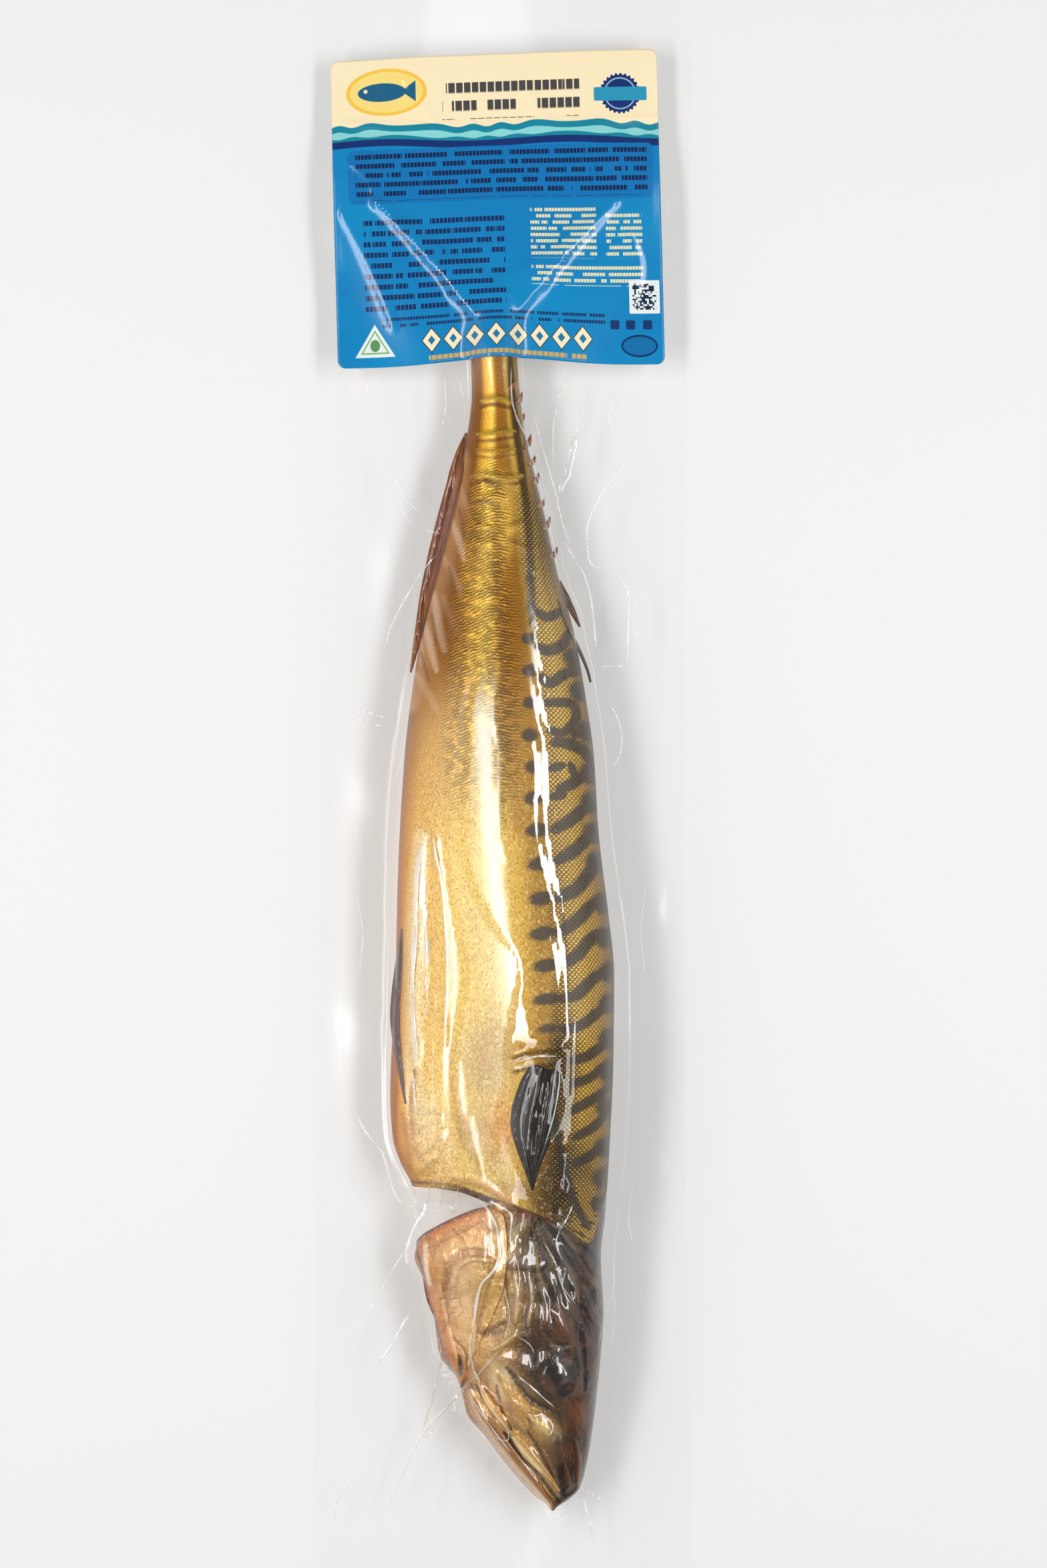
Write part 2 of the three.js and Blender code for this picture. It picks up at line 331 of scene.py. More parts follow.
def solid_piece(name, rings, material, uv=None, attributes=None, in_pouch=True):
    """A closed mesh from rings of points, rows by points by 3, in millimetres, or from a list of
    such. A ring runs along the upper side and back along the lower, so that each end is closed by
    a ladder of quads between its two sides. Faces are turned outwards by the sign of the volume."""
    groups = rings if isinstance(rings, list) else [rings]
    quads, start = [], 0
    for grid in groups:
        rows, count = grid.shape[:2]
        j, i = np.meshgrid(np.arange(rows - 1), np.arange(count), indexing="ij")
        here, there = start + j * count, start + (j + 1) * count
        after = (i + 1) % count
        walls = np.stack([here + i, here + after, there + after, there + i], -1)
        quads.append(walls.reshape(-1, 4))
        k = np.arange(count // 2 - 1)
        for first, turned in ((start + (rows - 1) * count, 1), (start, -1)):
            ladder = np.stack([k, k + 1, count - 2 - k, count - 1 - k], -1)[:, ::turned] + first
            quads.append(ladder)
        start += rows * count
    faces = np.concatenate(quads)
    places = np.concatenate([g.reshape(-1, 3) for g in groups]) * 0.001
    a, b, c, d = (places[faces[:, k]] for k in range(4))
    volume = np.einsum("ij,ij->", a, np.cross(b, c)) + np.einsum("ij,ij->", a, np.cross(c, d))
    if volume < 0:
        faces = faces[:, ::-1]
    mesh = bpy.data.meshes.new(name)
    mesh.vertices.add(len(places))
    mesh.vertices.foreach_set("co", places.astype(np.float32).ravel())
    mesh.loops.add(faces.size)
    mesh.loops.foreach_set("vertex_index", faces.astype(np.int32).ravel())
    mesh.polygons.add(len(faces))
    mesh.polygons.foreach_set("loop_start", np.arange(0, faces.size, 4, dtype=np.int32))
    mesh.polygons.foreach_set("use_smooth", np.ones(len(faces), bool))
    mesh.update(calc_edges=True)
    if uv is not None:
        corners = uv.reshape(-1, 2)[faces.ravel()].astype(np.float32)
        mesh.uv_layers.new(name="surface").data.foreach_set("uv", corners.ravel())
    for label, values in (attributes or {}).items():
        flat = values.reshape(len(places), -1).astype(np.float32)
        if flat.shape[1] == 3:
            flat = np.hstack([flat, np.ones((len(flat), 1), np.float32)])
            layer = mesh.attributes.new(label, "FLOAT_COLOR", "POINT")
            layer.data.foreach_set("color", flat.ravel())
        else:
            layer = mesh.attributes.new(label, "FLOAT", "POINT")
            layer.data.foreach_set("value", flat.ravel())
    mesh.validate()
    mesh.materials.append(material)
    piece = bpy.data.objects.new(name, mesh)
    bpy.context.scene.collection.objects.link(piece)
    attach(piece, "root")
    if in_pouch:
        contents.append(places * 1000)
    return piece


def attribute(tree, name, output="Fac"):
    """A named value or colour that the mesh carries."""
    node = tree.nodes.new("ShaderNodeAttribute")
    node.attribute_name = name
    return Field(node.outputs[output])


def eased(share, amount=0.8):
    """Shares that crowd towards 0 and 1, as places evenly spaced round a half circle do."""
    return share + (0.5 - 0.5 * np.cos(math.pi * share) - share) * amount


def two_sides(upper, lower):
    """Rings that run along an upper grid and back along a lower one."""
    return np.concatenate([upper, lower[:, ::-1]], axis=1)


def on_both_sides(**grids):
    """The same values along the upper and the lower side, by their names."""
    return {name: two_sides(grid, grid) for name, grid in grids.items()}


RIM_HALF_THICKNESS = 0.2
RESTING_Z = 0.6


def fish_z(x, y):
    """Upper and lower heights of the plain fish: its seam, plus or minus the flank's form. The
    lower flank is cut off level where it rests."""
    across = np.clip((x - belly_x(y)) / (back_x(y) - belly_x(y)), 0, 1)
    form = section_form(across, y)
    top = seam_height(y) + RIM_HALF_THICKNESS + upper_flank(y) * form
    bottom = seam_height(y) - RIM_HALF_THICKNESS - lower_flank(y) * form
    return top, np.maximum(RESTING_Z, bottom)


BODY_ROWS = 400
BODY_COLUMNS = 100
BODY_TAIL_Y = 150
body_rim_y = curve_through([
    (0, -122.5), (0.25, -122.5), (0.42, -125), (0.6, -128.5), (0.8, -134), (0.93, -138.5),
    (1, -124),
])
share_across = eased(np.linspace(0, 1, BODY_COLUMNS))[None, :]
share_along = np.linspace(0, 1, BODY_ROWS)[:, None]
body_y = BODY_TAIL_Y + (body_rim_y(share_across) - BODY_TAIL_Y) * share_along
body_x = belly_x(body_y) + (back_x(body_y) - belly_x(body_y)) * share_across
body_top, body_bottom = fish_z(body_x, body_y)
across = np.broadcast_to(share_across, body_y.shape)

# Colour of the flank: pale gold over the belly, bronze along its side, bright gold on the back and
# dark at its rim. Towards the tail the bright gold four tenths of the way across is partly the
# skin's own and partly a painted highlight along the flank's slope.
front = across_colours(
    [0, 0.03, 0.08, 0.2, 0.34, 0.48, 0.58, 0.66, 0.74, 0.86, 0.94, 1],
    [(156, 90, 26), (214, 140, 42), (242, 186, 76), (244, 200, 98), (240, 204, 98), (232, 202, 110),
     (218, 176, 74), (170, 130, 42), (176, 138, 50), (255, 206, 70), (220, 168, 62), (60, 42, 18)],
    across,
)
rear = across_colours(
    [0, 0.06, 0.2, 0.3, 0.42, 0.52, 0.6, 0.68, 0.76, 0.84, 0.93, 1],
    [(120, 66, 20), (156, 96, 26), (146, 88, 20), (250, 184, 54), (255, 214, 84), (176, 112, 26),
     (166, 110, 26), (146, 102, 28), (214, 174, 74), (255, 208, 76), (220, 170, 62), (62, 44, 20)],
    across,
)
tailward = smooth_step(-30, 52, body_y)[..., None]
body_colour = front + (rear - front) * tailward
hazy_line = [(-12.4, 100), (-16, 80), (-20.6, 60), (-25, 40), (-27.5, 24)]
haze = stroke(body_x, body_y, hazy_line, 9, soft=0.5)
body_colour = lay_on(body_colour, (190, 134, 76), 0.8 * haze)
for points, width, colour, strength in [
    ([(-20.7, 58.2), (-19, 48), (-17.2, 40)], 2.4, (226, 190, 158), 0.7),
    ([(-17.8, 57.1), (-14, 46.7)], 2, (214, 172, 134), 0.6),
    ([(-23.7, 49.6), (-19.7, 34.1)], 2.2, (226, 190, 158), 0.7),
    ([(-26.6, 34.1), (-22, 27), (-19.7, 22)], 2.2, (206, 162, 120), 0.6),
    ([(-24.6, 44), (-24.4, 36)], 1.6, (214, 172, 134), 0.6),
    ([(-18.8, 70.2), (-15, 64), (-12.1, 57.6)], 2.2, (214, 172, 134), 0.65),
    ([(-15.7, 81), (-13, 74), (-11.3, 67.5)], 2, (226, 190, 158), 0.65),
    ([(-13.1, 91.6), (-9.5, 81)], 1.8, (206, 162, 118), 0.6),
    ([(-21.4, 52), (-19.6, 42)], 1.1, (110, 66, 40), 0.6),
    ([(-16, 66), (-13.6, 56)], 1.1, (110, 66, 40), 0.6),
    ([(-24.6, 40), (-22, 31)], 1.1, (110, 66, 40), 0.6),
    ([(-13, 84), (-11, 74)], 1.1, (110, 66, 40), 0.6),
    ([(2.3, 134), (3, 122), (4.4, 108), (6.2, 95), (7.8, 82), (8.6, 70), (9, 58), (9.2, 48)], 2.8,
     (46, 32, 16), 0.95),
    ([(6.4, 112), (8.4, 98), (10.6, 80)], 2, (96, 80, 50), 0.5),
    ([(3.4, 57), (3, 34), (3.4, 10), (5, -14)], 5, (150, 96, 30), 0.4),
    # A painted highlight: a pale cream band down the slope of the belly.
    ([(-24.5, -15), (-26, -46), (-27, -100)], 6, (255, 230, 176), 0.7),
    ([(-31.4, 8), (-32, -60), (-32.6, -118)], 1.8, (176, 108, 56), 0.8),
    ([(16.2, -24), (16.6, -32.3), (18.1, -36), (19.4, -51.4), (19.9, -65), (20.6, -75)], 0.8,
     (52, 36, 26), 0.8),
    ([(-28, -108), (-24, -114), (-20, -118)], 1.2, (170, 96, 36), 0.7),
    ([(-30, -100), (-28.4, -110), (-28, -120)], 2, (196, 128, 48), 0.7),
    ([(-28, -121), (-15, -121.4), (-8, -123.4), (0, -127)], 1.4, (104, 54, 18), 0.9),
    ([(-15, -119), (-6, -120.6), (0, -124), (6, -127)], 2.6, (206, 150, 70), 0.7),
    ([(6, -120), (9, -124), (12, -127)], 3, (150, 110, 62), 0.6),
    ([(-15.4, -70), (-15.6, -84), (-14.8, -95), (-11.4, -110)], 1.6, (196, 132, 60), 0.5),
    ([(-13, -84), (-12, -98), (-9, -112)], 1.4, (250, 224, 170), 0.5),
    ([(-10, -100), (-8, -110), (-6, -119)], 1.2, (150, 92, 40), 0.5),
    ([(-26.2, -87), (-27.6, -96), (-27.2, -108)], 1.2, (176, 88, 26), 0.8),
    ([(-26, -98), (-19, -99)], 0.8, (160, 100, 50), 0.5),
    ([(-25, -104), (-18, -101)], 0.8, (160, 100, 50), 0.5),
    ([(-24, -112), (-17, -105)], 0.8, (150, 92, 44), 0.5),
    ([(-21, -116), (-17, -109)], 0.8, (150, 92, 44), 0.5),
    ([(1.6, -108), (4, -102), (5, -96)], 1.4, (190, 110, 26), 0.8),
    ([(3.2, -82.5), (9, -80.6), (18, -80)], 1.2, (74, 50, 26), 0.85),
    ([(3.4, -86.8), (9, -84.6), (17, -84.4)], 1, (74, 50, 26), 0.7),
    # The pairs of lines round the tail root: a painted highlight on the upper side of each fold and
    # painted shade just below it.
    ([(-6.5, 116.4), (-2, 117.2), (3, 116)], 1.1, (250, 204, 84), 0.8),
    ([(-6.5, 114.6), (-2, 115.2), (3, 114)], 1.4, (84, 52, 16), 0.85),
    ([(-7.6, 106.2), (-2, 106.4), (4.2, 107.2)], 1.2, (250, 204, 84), 0.8),
    ([(-7.6, 104.2), (-2, 104.2), (4.2, 105.4)], 1.3, (84, 52, 16), 0.8),
    ([(-8, 101.2), (-2, 101), (4.4, 101.8)], 1, (240, 190, 76), 0.7),
    ([(-8, 99.4), (-2, 99), (4.4, 100)], 1.2, (96, 58, 18), 0.7),
    ([(-9.4, 93), (-6, 94.2), (0, 92.6), (6.4, 93.4)], 1.3, (252, 210, 100), 0.85),
    ([(-9.4, 90.8), (-5, 92), (0, 90.6), (6.6, 91.4)], 1.5, (78, 46, 14), 0.9),
    ([(-9.6, 86.6), (-5, 87.4), (0, 86.8)], 1, (240, 190, 76), 0.6),
    ([(-9.6, 85), (-5, 85.8), (0, 85)], 1.1, (96, 58, 18), 0.6),
    ([(-8, 79), (0, 78), (6, 80)], 0.9, (110, 70, 22), 0.45),
    ([(-8, 73), (0, 74), (7, 72)], 0.9, (110, 70, 22), 0.4),
    ([(-4, 66), (2, 67.6), (7, 66)], 0.9, (110, 70, 22), 0.4),
]:
    body_colour = lay_on(body_colour, colour, strength * stroke(body_x, body_y, points, width))
for centre, half_width, half_length, colour, strength in [
    ((14, -112), 6, 10, (150, 108, 50), 0.5), ((20, -118), 7, 9, (60, 48, 34), 0.75),
    ((-2, -108), 8, 9, (196, 142, 62), 0.45), ((2, -122), 6, 3, (176, 116, 50), 0.6),
    # The pale cream dab at x -20 on the next line is a painted highlight on the front of the belly.
    ((-20, -112), 7, 8, (246, 206, 140), 0.5), ((-27.4, -104), 2.6, 4, (170, 92, 30), 0.6),
    ((8, -76), 9, 5, (188, 140, 50), 0.5), ((-5, -84), 8, 12, (160, 116, 44), 0.6),
    ((-8, -104), 7, 8, (166, 122, 56), 0.4), ((0, -102), 4, 9, (220, 146, 36), 0.7),
    ((18.5, -83), 5, 13, (64, 44, 16), 0.85), ((13.4, 82), 4.6, 24, (84, 58, 22), 0.85),
    # A painted highlight along the middle of the tail root, with a darker band beside it towards
    # the belly.
    ((0.6, 80), 3, 13, (255, 206, 90), 0.8), ((-8.6, 80), 2.4, 15, (140, 84, 20), 0.7),
    ((-14.5, 48), 4.5, 20, (126, 74, 14), 0.75),
    # A painted highlight: a pale cream dab on the front of the belly.
    ((-23, -101), 5, 10, (252, 226, 172), 0.7),
    ((17.4, -92), 5, 17, (62, 44, 20), 0.85),
]:
    touched = spot(body_x, body_y, centre, half_width, half_length)
    body_colour = lay_on(body_colour, colour, strength * touched)

# Bars: a row of blotches along the lateral line, and bars that slant up over the back.
BAR_TURN = 8
RIM_BAR_TURN = -30
bars = np.zeros(body_y.shape)
for cx, cy, half_width, half_length, amount in [
    (8.3, 43.9, 2.6, 2.1, 0.9), (8.5, 34.1, 2.7, 2.2, 0.95), (8.8, 24.5, 2.8, 2.2, 0.95),
    (8.5, 14.6, 2.9, 2.2, 0.95), (9.7, 5.2, 3.1, 2.2, 0.95), (9.9, -4.2, 3.4, 2.3, 1),
    (10.8, -13.8, 4, 2.3, 1), (11.9, -23.9, 4.4, 2.4, 1), (12, -34.3, 4.2, 2.4, 1),
    (12.4, -44.7, 4.4, 2.3, 1), (13.4, -54.3, 4.4, 2.2, 1), (14, -64.3, 4.8, 2, 0.95),
    (14.2, -73.1, 4.4, 1.8, 0.7), (8.9, 53.2, 2, 1.8, 0.75), (8.6, 62, 1.6, 1.5, 0.6),
]:
    blotch = spot(body_x, body_y, (cx, cy), half_width, half_length, BAR_TURN)
    bars = np.maximum(bars, amount * blotch)
for points, width in [
    ([(10.9, 51.8), (14, 50.4), (18, 52.4)], 3),
    ([(10.9, 41.2), (14, 40.2), (18.5, 42.2), (20, 45.5)], 3.6),
    ([(12, 32), (15, 30.6), (19, 33.2), (23.4, 34.6)], 3.6),
    ([(12.6, 24.4), (18, 24.6), (21.6, 23.8), (22.4, 19.6), (18.6, 15.6), (14.6, 16.2)], 3),
    ([(15.6, 12.6), (20, 12.2), (24.5, 10.2), (26.6, 7)], 3.6), ([(22, 14.6), (25.4, 17)], 3.4),
    ([(14.7, 4.6), (18.5, 5.6)], 2.6), ([(20.6, 6), (22.6, 1.6)], 2.6),
    ([(17.6, -1.6), (21.5, 0.4), (25.5, 3), (28.3, 4)], 3.8),
    ([(14.8, -3.9), (18.9, -3.4)], 2.6),
    ([(16, -13.6), (20, -11.4), (25, -7.4), (28.4, -5.6)], 4),
    ([(17, -22.9), (22, -20), (26, -16.2), (29, -14.8)], 4.2),
    ([(17, -34.3), (22.5, -31.4), (26.8, -26.4), (29.7, -23.2)], 4.4),
    ([(17, -44.7), (22, -41.5), (27, -36.6), (30.3, -34.8)], 4.2),
    ([(17.6, -54.3), (22.5, -51.6), (27, -46.5), (31, -44.6)], 4),
    ([(18.4, -64.3), (23, -63), (27.5, -58.6), (31.8, -56.4)], 3.8),
    ([(18.6, -73.4), (23.5, -72.6), (28, -69.4), (32, -66.6)], 3.4),
    ([(20, -83), (26, -81.6), (32, -77.5)], 3.2), ([(21, -90), (27, -88), (32, -84)], 3),
    ([(21, -98), (27, -95), (32, -92)], 3.2), ([(22, -106), (28, -103), (32, -99)], 3),
    ([(22, -114), (28, -111), (32, -108)], 3.2),
]:
    bars = np.maximum(bars, 0.95 * stroke(body_x, body_y, points, width, soft=0.75, taper=0.3))
for cy in (
    38, 28, 16, 3, -5.6, -14.8, -23.5, -36, -46.6, -57, -66.5, -77, -87, -98, -110, -119, -127,
):
    by_rim = (back_x(cy) - 1.6, cy)
    bars = np.maximum(bars, spot(body_x, body_y, by_rim, 4, 3.4, RIM_BAR_TURN))
for x0, y0, x1, y1 in [(-0.5, 56, 0, 48), (0, 40, 1, 30), (-0.5, 20, 0.5, 8), (0, 0, 1, -14)]:
    bars = np.maximum(bars, 0.35 * stroke(body_x, body_y, [(x0, y0), (x1, y1)], 2.4))
# Behind the pectoral fin the skin darkens to near black towards the nape.
for centre, half_width, half_length, turn, colour, strength in [
    ((17.4, -122), 9.5, 19, -8, (34, 27, 18), 0.94),
    ((25.6, -125), 2.8, 8, 18, (206, 160, 66), 0.8),
    ((18.6, -107.4), 2.4, 2.4, 0, (188, 130, 52), 0.8),
]:
    touched = spot(body_x, body_y, centre, half_width, half_length, turn)
    body_colour = lay_on(body_colour, colour, strength * touched)
nape_line = [(16, -100), (18, -112), (20, -122), (26.4, -134)]
bars = np.maximum(bars, 0.7 * stroke(body_x, body_y, nape_line, 3.4))

# Folds of the skin: the slack belly's long creases, its edge's wrinkles, rings round the tail root.
skin_relief = np.zeros(body_y.shape)
for points, width, height in [
    ([(-20.7, -15.4), (-19, -25.6), (-17, -41.9), (-16.2, -56.1), (-17, -78.5)], 2.6, 0.35),
    ([(-23.5, -15.4), (-25.4, -29.6), (-26.4, -45.9), (-26.8, -66.3), (-26, -86.7)], 3.4, 0.4),
    ([(-22, -13), (-22, -30), (-21.5, -60)], 3.2, -0.35),
    ([(-29, -2.6), (-24, -3), (-20.6, -2.2)], 1.6, -0.22),
    ([(-29, -7.4), (-24.6, -7.6), (-21, -6.6)], 1.6, -0.22),
    ([(-29.4, -12.9), (-25, -13), (-22, -11.6)], 1.6, -0.22),
    ([(-7.6, 115.6), (-2, 116.2), (4, 115)], 2.4, 0.7),
    ([(-8, 105.4), (-2, 105.6), (5, 106.4)], 2.2, 0.7),
    ([(-8, 100.4), (-2, 100.2), (5, 101)], 2, 0.5),
    ([(-9.4, 92), (-5, 93.4), (0, 91.8), (7, 92.4)], 2.4, 0.9),
    ([(-9.6, 86), (-5, 86.8), (1, 86)], 1.8, 0.5), ([(-8, 78), (0, 77), (7, 79)], 2, 0.3),
    ([(-8, 72), (0, 73), (8, 71)], 2, 0.3), ([(8, 84), (13, 86)], 1.4, 0.4),
    ([(9, 78), (14, 80)], 1.4, 0.4),
    ([(10, 71), (15, 73)], 1.4, 0.4), ([(10, 64), (16, 65)], 1.6, 0.4),
    ([(3, -81), (9, -79), (18, -78.4)], 2.4, 0.8), ([(3, -85.6), (9, -83.4), (17, -83)], 1.8, 0.7),
    ([(-15.4, -70), (-15.6, -84), (-14.8, -95), (-11.4, -110)], 2, -0.16),
    ([(-13, -84), (-12, -98), (-9, -112)], 1.6, 0.16),
    ([(-10, -100), (-8, -110), (-6, -119)], 1.6, 0.16),
    ([(-26.2, -87), (-27.6, -96), (-27.2, -108)], 1.6, -0.4), ([(-26, -98), (-19, -99)], 1.2, 0.25),
    ([(-25, -104), (-18, -101)], 1.2, 0.25), ([(-24, -112), (-17, -105)], 1.2, 0.25),
    ([(-15, -119), (-6, -120.6), (0, -124), (6, -127)], 2.2, 0.4),
    ([(16.6, -108), (20, -107)], 3.4, 0.8),
    ([(14, -122), (18, -118), (19, -112)], 1.2, 0.5),
    ([(17, -128), (20, -124), (20, -118)], 1.2, 0.5),
    ([(21, -133), (24, -127), (23, -120)], 1.2, 0.4),
    ([(-25.2, -117.6), (-21.7, -114.2), (-18.2, -112.7)], 1.8, 0.3),
]:
    skin_relief += height * stroke(body_x, body_y, points, width, soft=0.9)
skin_relief += 0.025 * lumps(body_x, body_y, 7, 3) + 0.006 * lumps(body_x, body_y, 2.2, 4)
body_top = body_top + skin_relief * smooth_step(0, 0.04, across) * smooth_step(1, 0.96, across)

# The map of the skin runs in millimetres, along the fish and round its flank from a line near
# the back, so that scales and ridges keep their size.
MAP_LINE_SHARE = 0.7
steps = np.hypot(np.diff(body_x, axis=1), np.diff(body_top, axis=1))
arc = np.concatenate([np.zeros((BODY_ROWS, 1)), np.cumsum(steps, axis=1)], axis=1)
arc -= arc[:, [0]] + (arc[:, [-1]] - arc[:, [0]]) * MAP_LINE_SHARE
upper = np.stack([body_x, body_y, body_top], -1)
lower = np.stack([body_x, body_y, body_bottom], -1)
body_uv = np.stack([arc, body_y], -1)
scaly = smooth_step(0.68, 0.78, across) * smooth_step(96, 80, body_y)
gilt = (0.84 - 0.3 * smooth_step(0.72, 0.95, across)) * (1 - 0.75 * haze)

# The flank's fine ridges rise to the right from the belly and bend level past the middle.
from_middle = body_x - (belly_x(body_y) + 0.47 * (back_x(body_y) - belly_x(body_y)))
bend = smooth_step(-4, 4, from_middle)
ridge_place = body_y - 0.4 * from_middle * (1 - bend) + 0.12 * from_middle * bend
ridged = smooth_step(-22, 14, body_y) * smooth_step(104, 84, body_y)
ridged = ridged * smooth_step(0.14, 0.3, across) * smooth_step(0.7, 0.5, across)
curly = smooth_step(30, -12, body_y) * smooth_step(0.02, 0.12, across) * (1 - scaly)

RIDGE_PITCH = 0.95
RIDGE_WANDER = 11.0
SCALES_ACROSS, SCALES_ALONG, SCALE_WANDER = 0.62, 0.7, 0.7
SKIN_BUMP = 0.0006

skin_gold, tree, output = new_finish("skin_gold")
skin_map, skin_u, skin_v = surface_map(tree)
curls = noise(tree, stretched(tree, skin_map, (1.5, 0.8, 1)), 1.05, 3, 0.6, 1.0)
patches = ramp(noise(tree, skin_map, 0.3, 2, 0.5), 0.3, 0.6) * 0.75 + 0.25
mottle = noise(tree, skin_map, 0.22, 3, 0.6)
grain = noise(tree, stretched(tree, skin_map, (1, 0.8, 1)), 2.4, 2, 0.6)
wander = noise(tree, skin_map, 0.5, 2, 0.5)
ridge_turns = attribute(tree, "ridge_place") * (2 * math.pi / RIDGE_PITCH)
ridges = worked_out("SINE", ridge_turns + wander * RIDGE_WANDER)
# Two sets of slanting waves cross in a net of lozenges, whose cells are the scales.
wave_rise = skin_u * SCALES_ACROSS + skin_v * SCALES_ALONG + wander * SCALE_WANDER
wave_fall = skin_u * SCALES_ACROSS - skin_v * SCALES_ALONG + wander * SCALE_WANDER
scale_lines = worked_out(
    "MULTIPLY",
    worked_out("ABSOLUTE", worked_out("SINE", wave_rise * math.pi)),
    worked_out("ABSOLUTE", worked_out("SINE", wave_fall * math.pi)),
)
scale_cells = ramp(scale_lines, 0.03, 0.6)
scale_share = attribute(tree, "scaly")
ridge_share = attribute(tree, "ridged") * patches
curl_share = attribute(tree, "curly")
bar_share = attribute(tree, "bars")
bar_edge = ramp(bar_share + (grain - 0.5) * 1.3 + (mottle - 0.5) * 0.4, 0.26, 0.66)
barred = laid_over(attribute(tree, "paint", "Color"), [
    (ramp(curls, 0.5, 0.3) * curl_share * 0.62, (140, 88, 26)),
    (ramp(curls, 0.52, 0.72) * curl_share * 0.5, (255, 240, 190)),
    (ramp(ridges, 0.1, -0.8) * ridge_share * 0.6, (92, 50, 8)),
    (ramp(ridges, 0.3, 0.95) * ridge_share * 0.42, (255, 226, 120)),
    (ramp(grain, 0.54, 0.34) * 0.36, (100, 62, 20)),
    (scale_share * (1 - scale_cells) * 0.75, (78, 56, 26)),
    (scale_share * ramp(scale_lines, 0.55, 0.95) * 0.35, (236, 206, 128)),
    (ramp(mottle, 0.48, 0.75) * 0.18, (168, 110, 42)),
    (bar_edge * 0.92, (46, 31, 12)),
])
fine_relief = curls * curl_share * 0.7 + grain * 0.35
fine_relief = fine_relief + scale_share * scale_cells + ridges * ridge_share * 0.35
coated(tree, output, {
    "Base Color": barred,
    "Metallic": attribute(tree, "gilt") * (1 - bar_edge * 0.9),
    "Roughness": ramp(grain, 0, 1) * 0.14 + 0.35,
    "Normal": raised(tree, fine_relief, 0.8, SKIN_BUMP),
})

solid_piece(
    "fish_body",
    two_sides(upper, lower),
    skin_gold,
    uv=two_sides(body_uv, body_uv),
    attributes=on_both_sides(
        paint=body_colour, bars=bars, scaly=scaly, gilt=gilt, ridged=ridged,
        ridge_place=ridge_place, curly=curly,
    ),
)

# ---------------------------------------------------------------------------------------------
# Fish head. Smoked skin over the skull from the nape to the snout, with the relief of the cheek,
# the folds behind it and the mouth. Its rear edge tucks under the body's skin.
# ---------------------------------------------------------------------------------------------
HEAD_ROWS = 240
HEAD_COLUMNS = 140
HEAD_SNOUT_Y = -221.4
HEAD_TUCK = 0.35
HEAD_LIFT_BELOW = 0.05
head_rear_y = curve_through([
    (0, -142), (0.2, -137.5), (0.36, -131), (0.46, -125), (0.7, -120), (1, -117),
])
share_across = eased(np.linspace(0, 1, HEAD_COLUMNS), 0.7)[None, :]
share_along = np.linspace(0, 1, HEAD_ROWS)[:, None]
head_y = head_rear_y(share_across) + (HEAD_SNOUT_Y - head_rear_y(share_across)) * share_along
head_x = belly_x(head_y) + (back_x(head_y) - belly_x(head_y)) * share_across
head_top, head_bottom = fish_z(head_x, head_y)
# Where the neck runs on inside the body, both its sides are clear of the body's own.
lift_share = HEAD_LIFT_BELOW * smooth_step(-142, -132, head_y)
head_bottom = head_bottom + lift_share * (head_top - head_bottom)
across = np.broadcast_to(share_across, head_y.shape)
head_top = head_top - HEAD_TUCK * smooth_step(-146, -128, head_y)

head_colour = across_colours(
    [0, 0.08, 0.3, 0.45, 0.56, 0.68, 0.85, 1],
    [(150, 92, 40), (204, 148, 88), (206, 160, 96), (158, 118, 60), (92, 66, 34),
     (48, 35, 22), (30, 23, 17), (22, 18, 15)],
    across,
)
head_relief = np.zeros(head_y.shape)
HEAD_FOLD_DEPTH = 1.7
black, dark, umber, rust = (20, 15, 12), (44, 32, 22), (92, 62, 36), (116, 62, 28)
gold, pale = (206, 156, 76), (244, 222, 180)
for centre, half_width, half_length, turn, colour, strength in [
    ((3, -150), 7, 12, 0, (196, 160, 98), 0.6), ((7, -136), 5, 6, 0, (120, 104, 78), 0.6),
    ((18, -142), 9, 15, -20, (46, 40, 34), 0.85), ((10, -140), 3, 10, -12, (86, 76, 60), 0.7),
    ((4, -158), 6, 8, 0, (176, 130, 64), 0.6), ((15.6, -162), 6.5, 6, 0, rust, 0.85),
    ((28, -158), 4, 22, 0, black, 0.9), ((25, -170), 5, 9, 0, (70, 42, 26), 0.8),
    ((9.4, -169), 6, 8, 0, (66, 42, 22), 0.85), ((15.5, -178.5), 11.5, 9.5, 0, black, 0.95),
    # The pale dab on the cheek beside the eye, on the next line, is a painted highlight.
    ((14, -180.5), 3.6, 3.2, 0, (98, 62, 36), 0.6), ((1, -181), 4, 6, 25, pale, 0.85),
    ((7, -187), 4, 9, 33, gold, 0.8), ((12.5, -196), 6, 5, 20, gold, 0.85),
    ((5, -196), 7, 5, 40, (150, 110, 56), 0.7), ((23, -190), 3.4, 7, 0, rust, 0.85),
    ((13, -205), 6, 8, 30, (112, 80, 44), 0.8), ((21, -206), 5, 9, 0, (50, 28, 16), 0.9),
    ((19.5, -202), 2.4, 3, 0, (110, 60, 30), 0.6), ((19, -216), 5, 3.4, 0, (34, 22, 14), 0.9),
    ((-12.6, -176), 1.7, 1.5, 0, umber, 0.9), ((-12.1, -180.8), 1.5, 1.3, 0, umber, 0.9),
    ((6, -129), 3, 1.6, 0, (150, 74, 40), 0.7), ((13, -131), 3.4, 1.4, -20, rust, 0.6),
]:
    touched = spot(head_x, head_y, centre, half_width, half_length, turn)
    head_colour = lay_on(head_colour, colour, strength * touched)
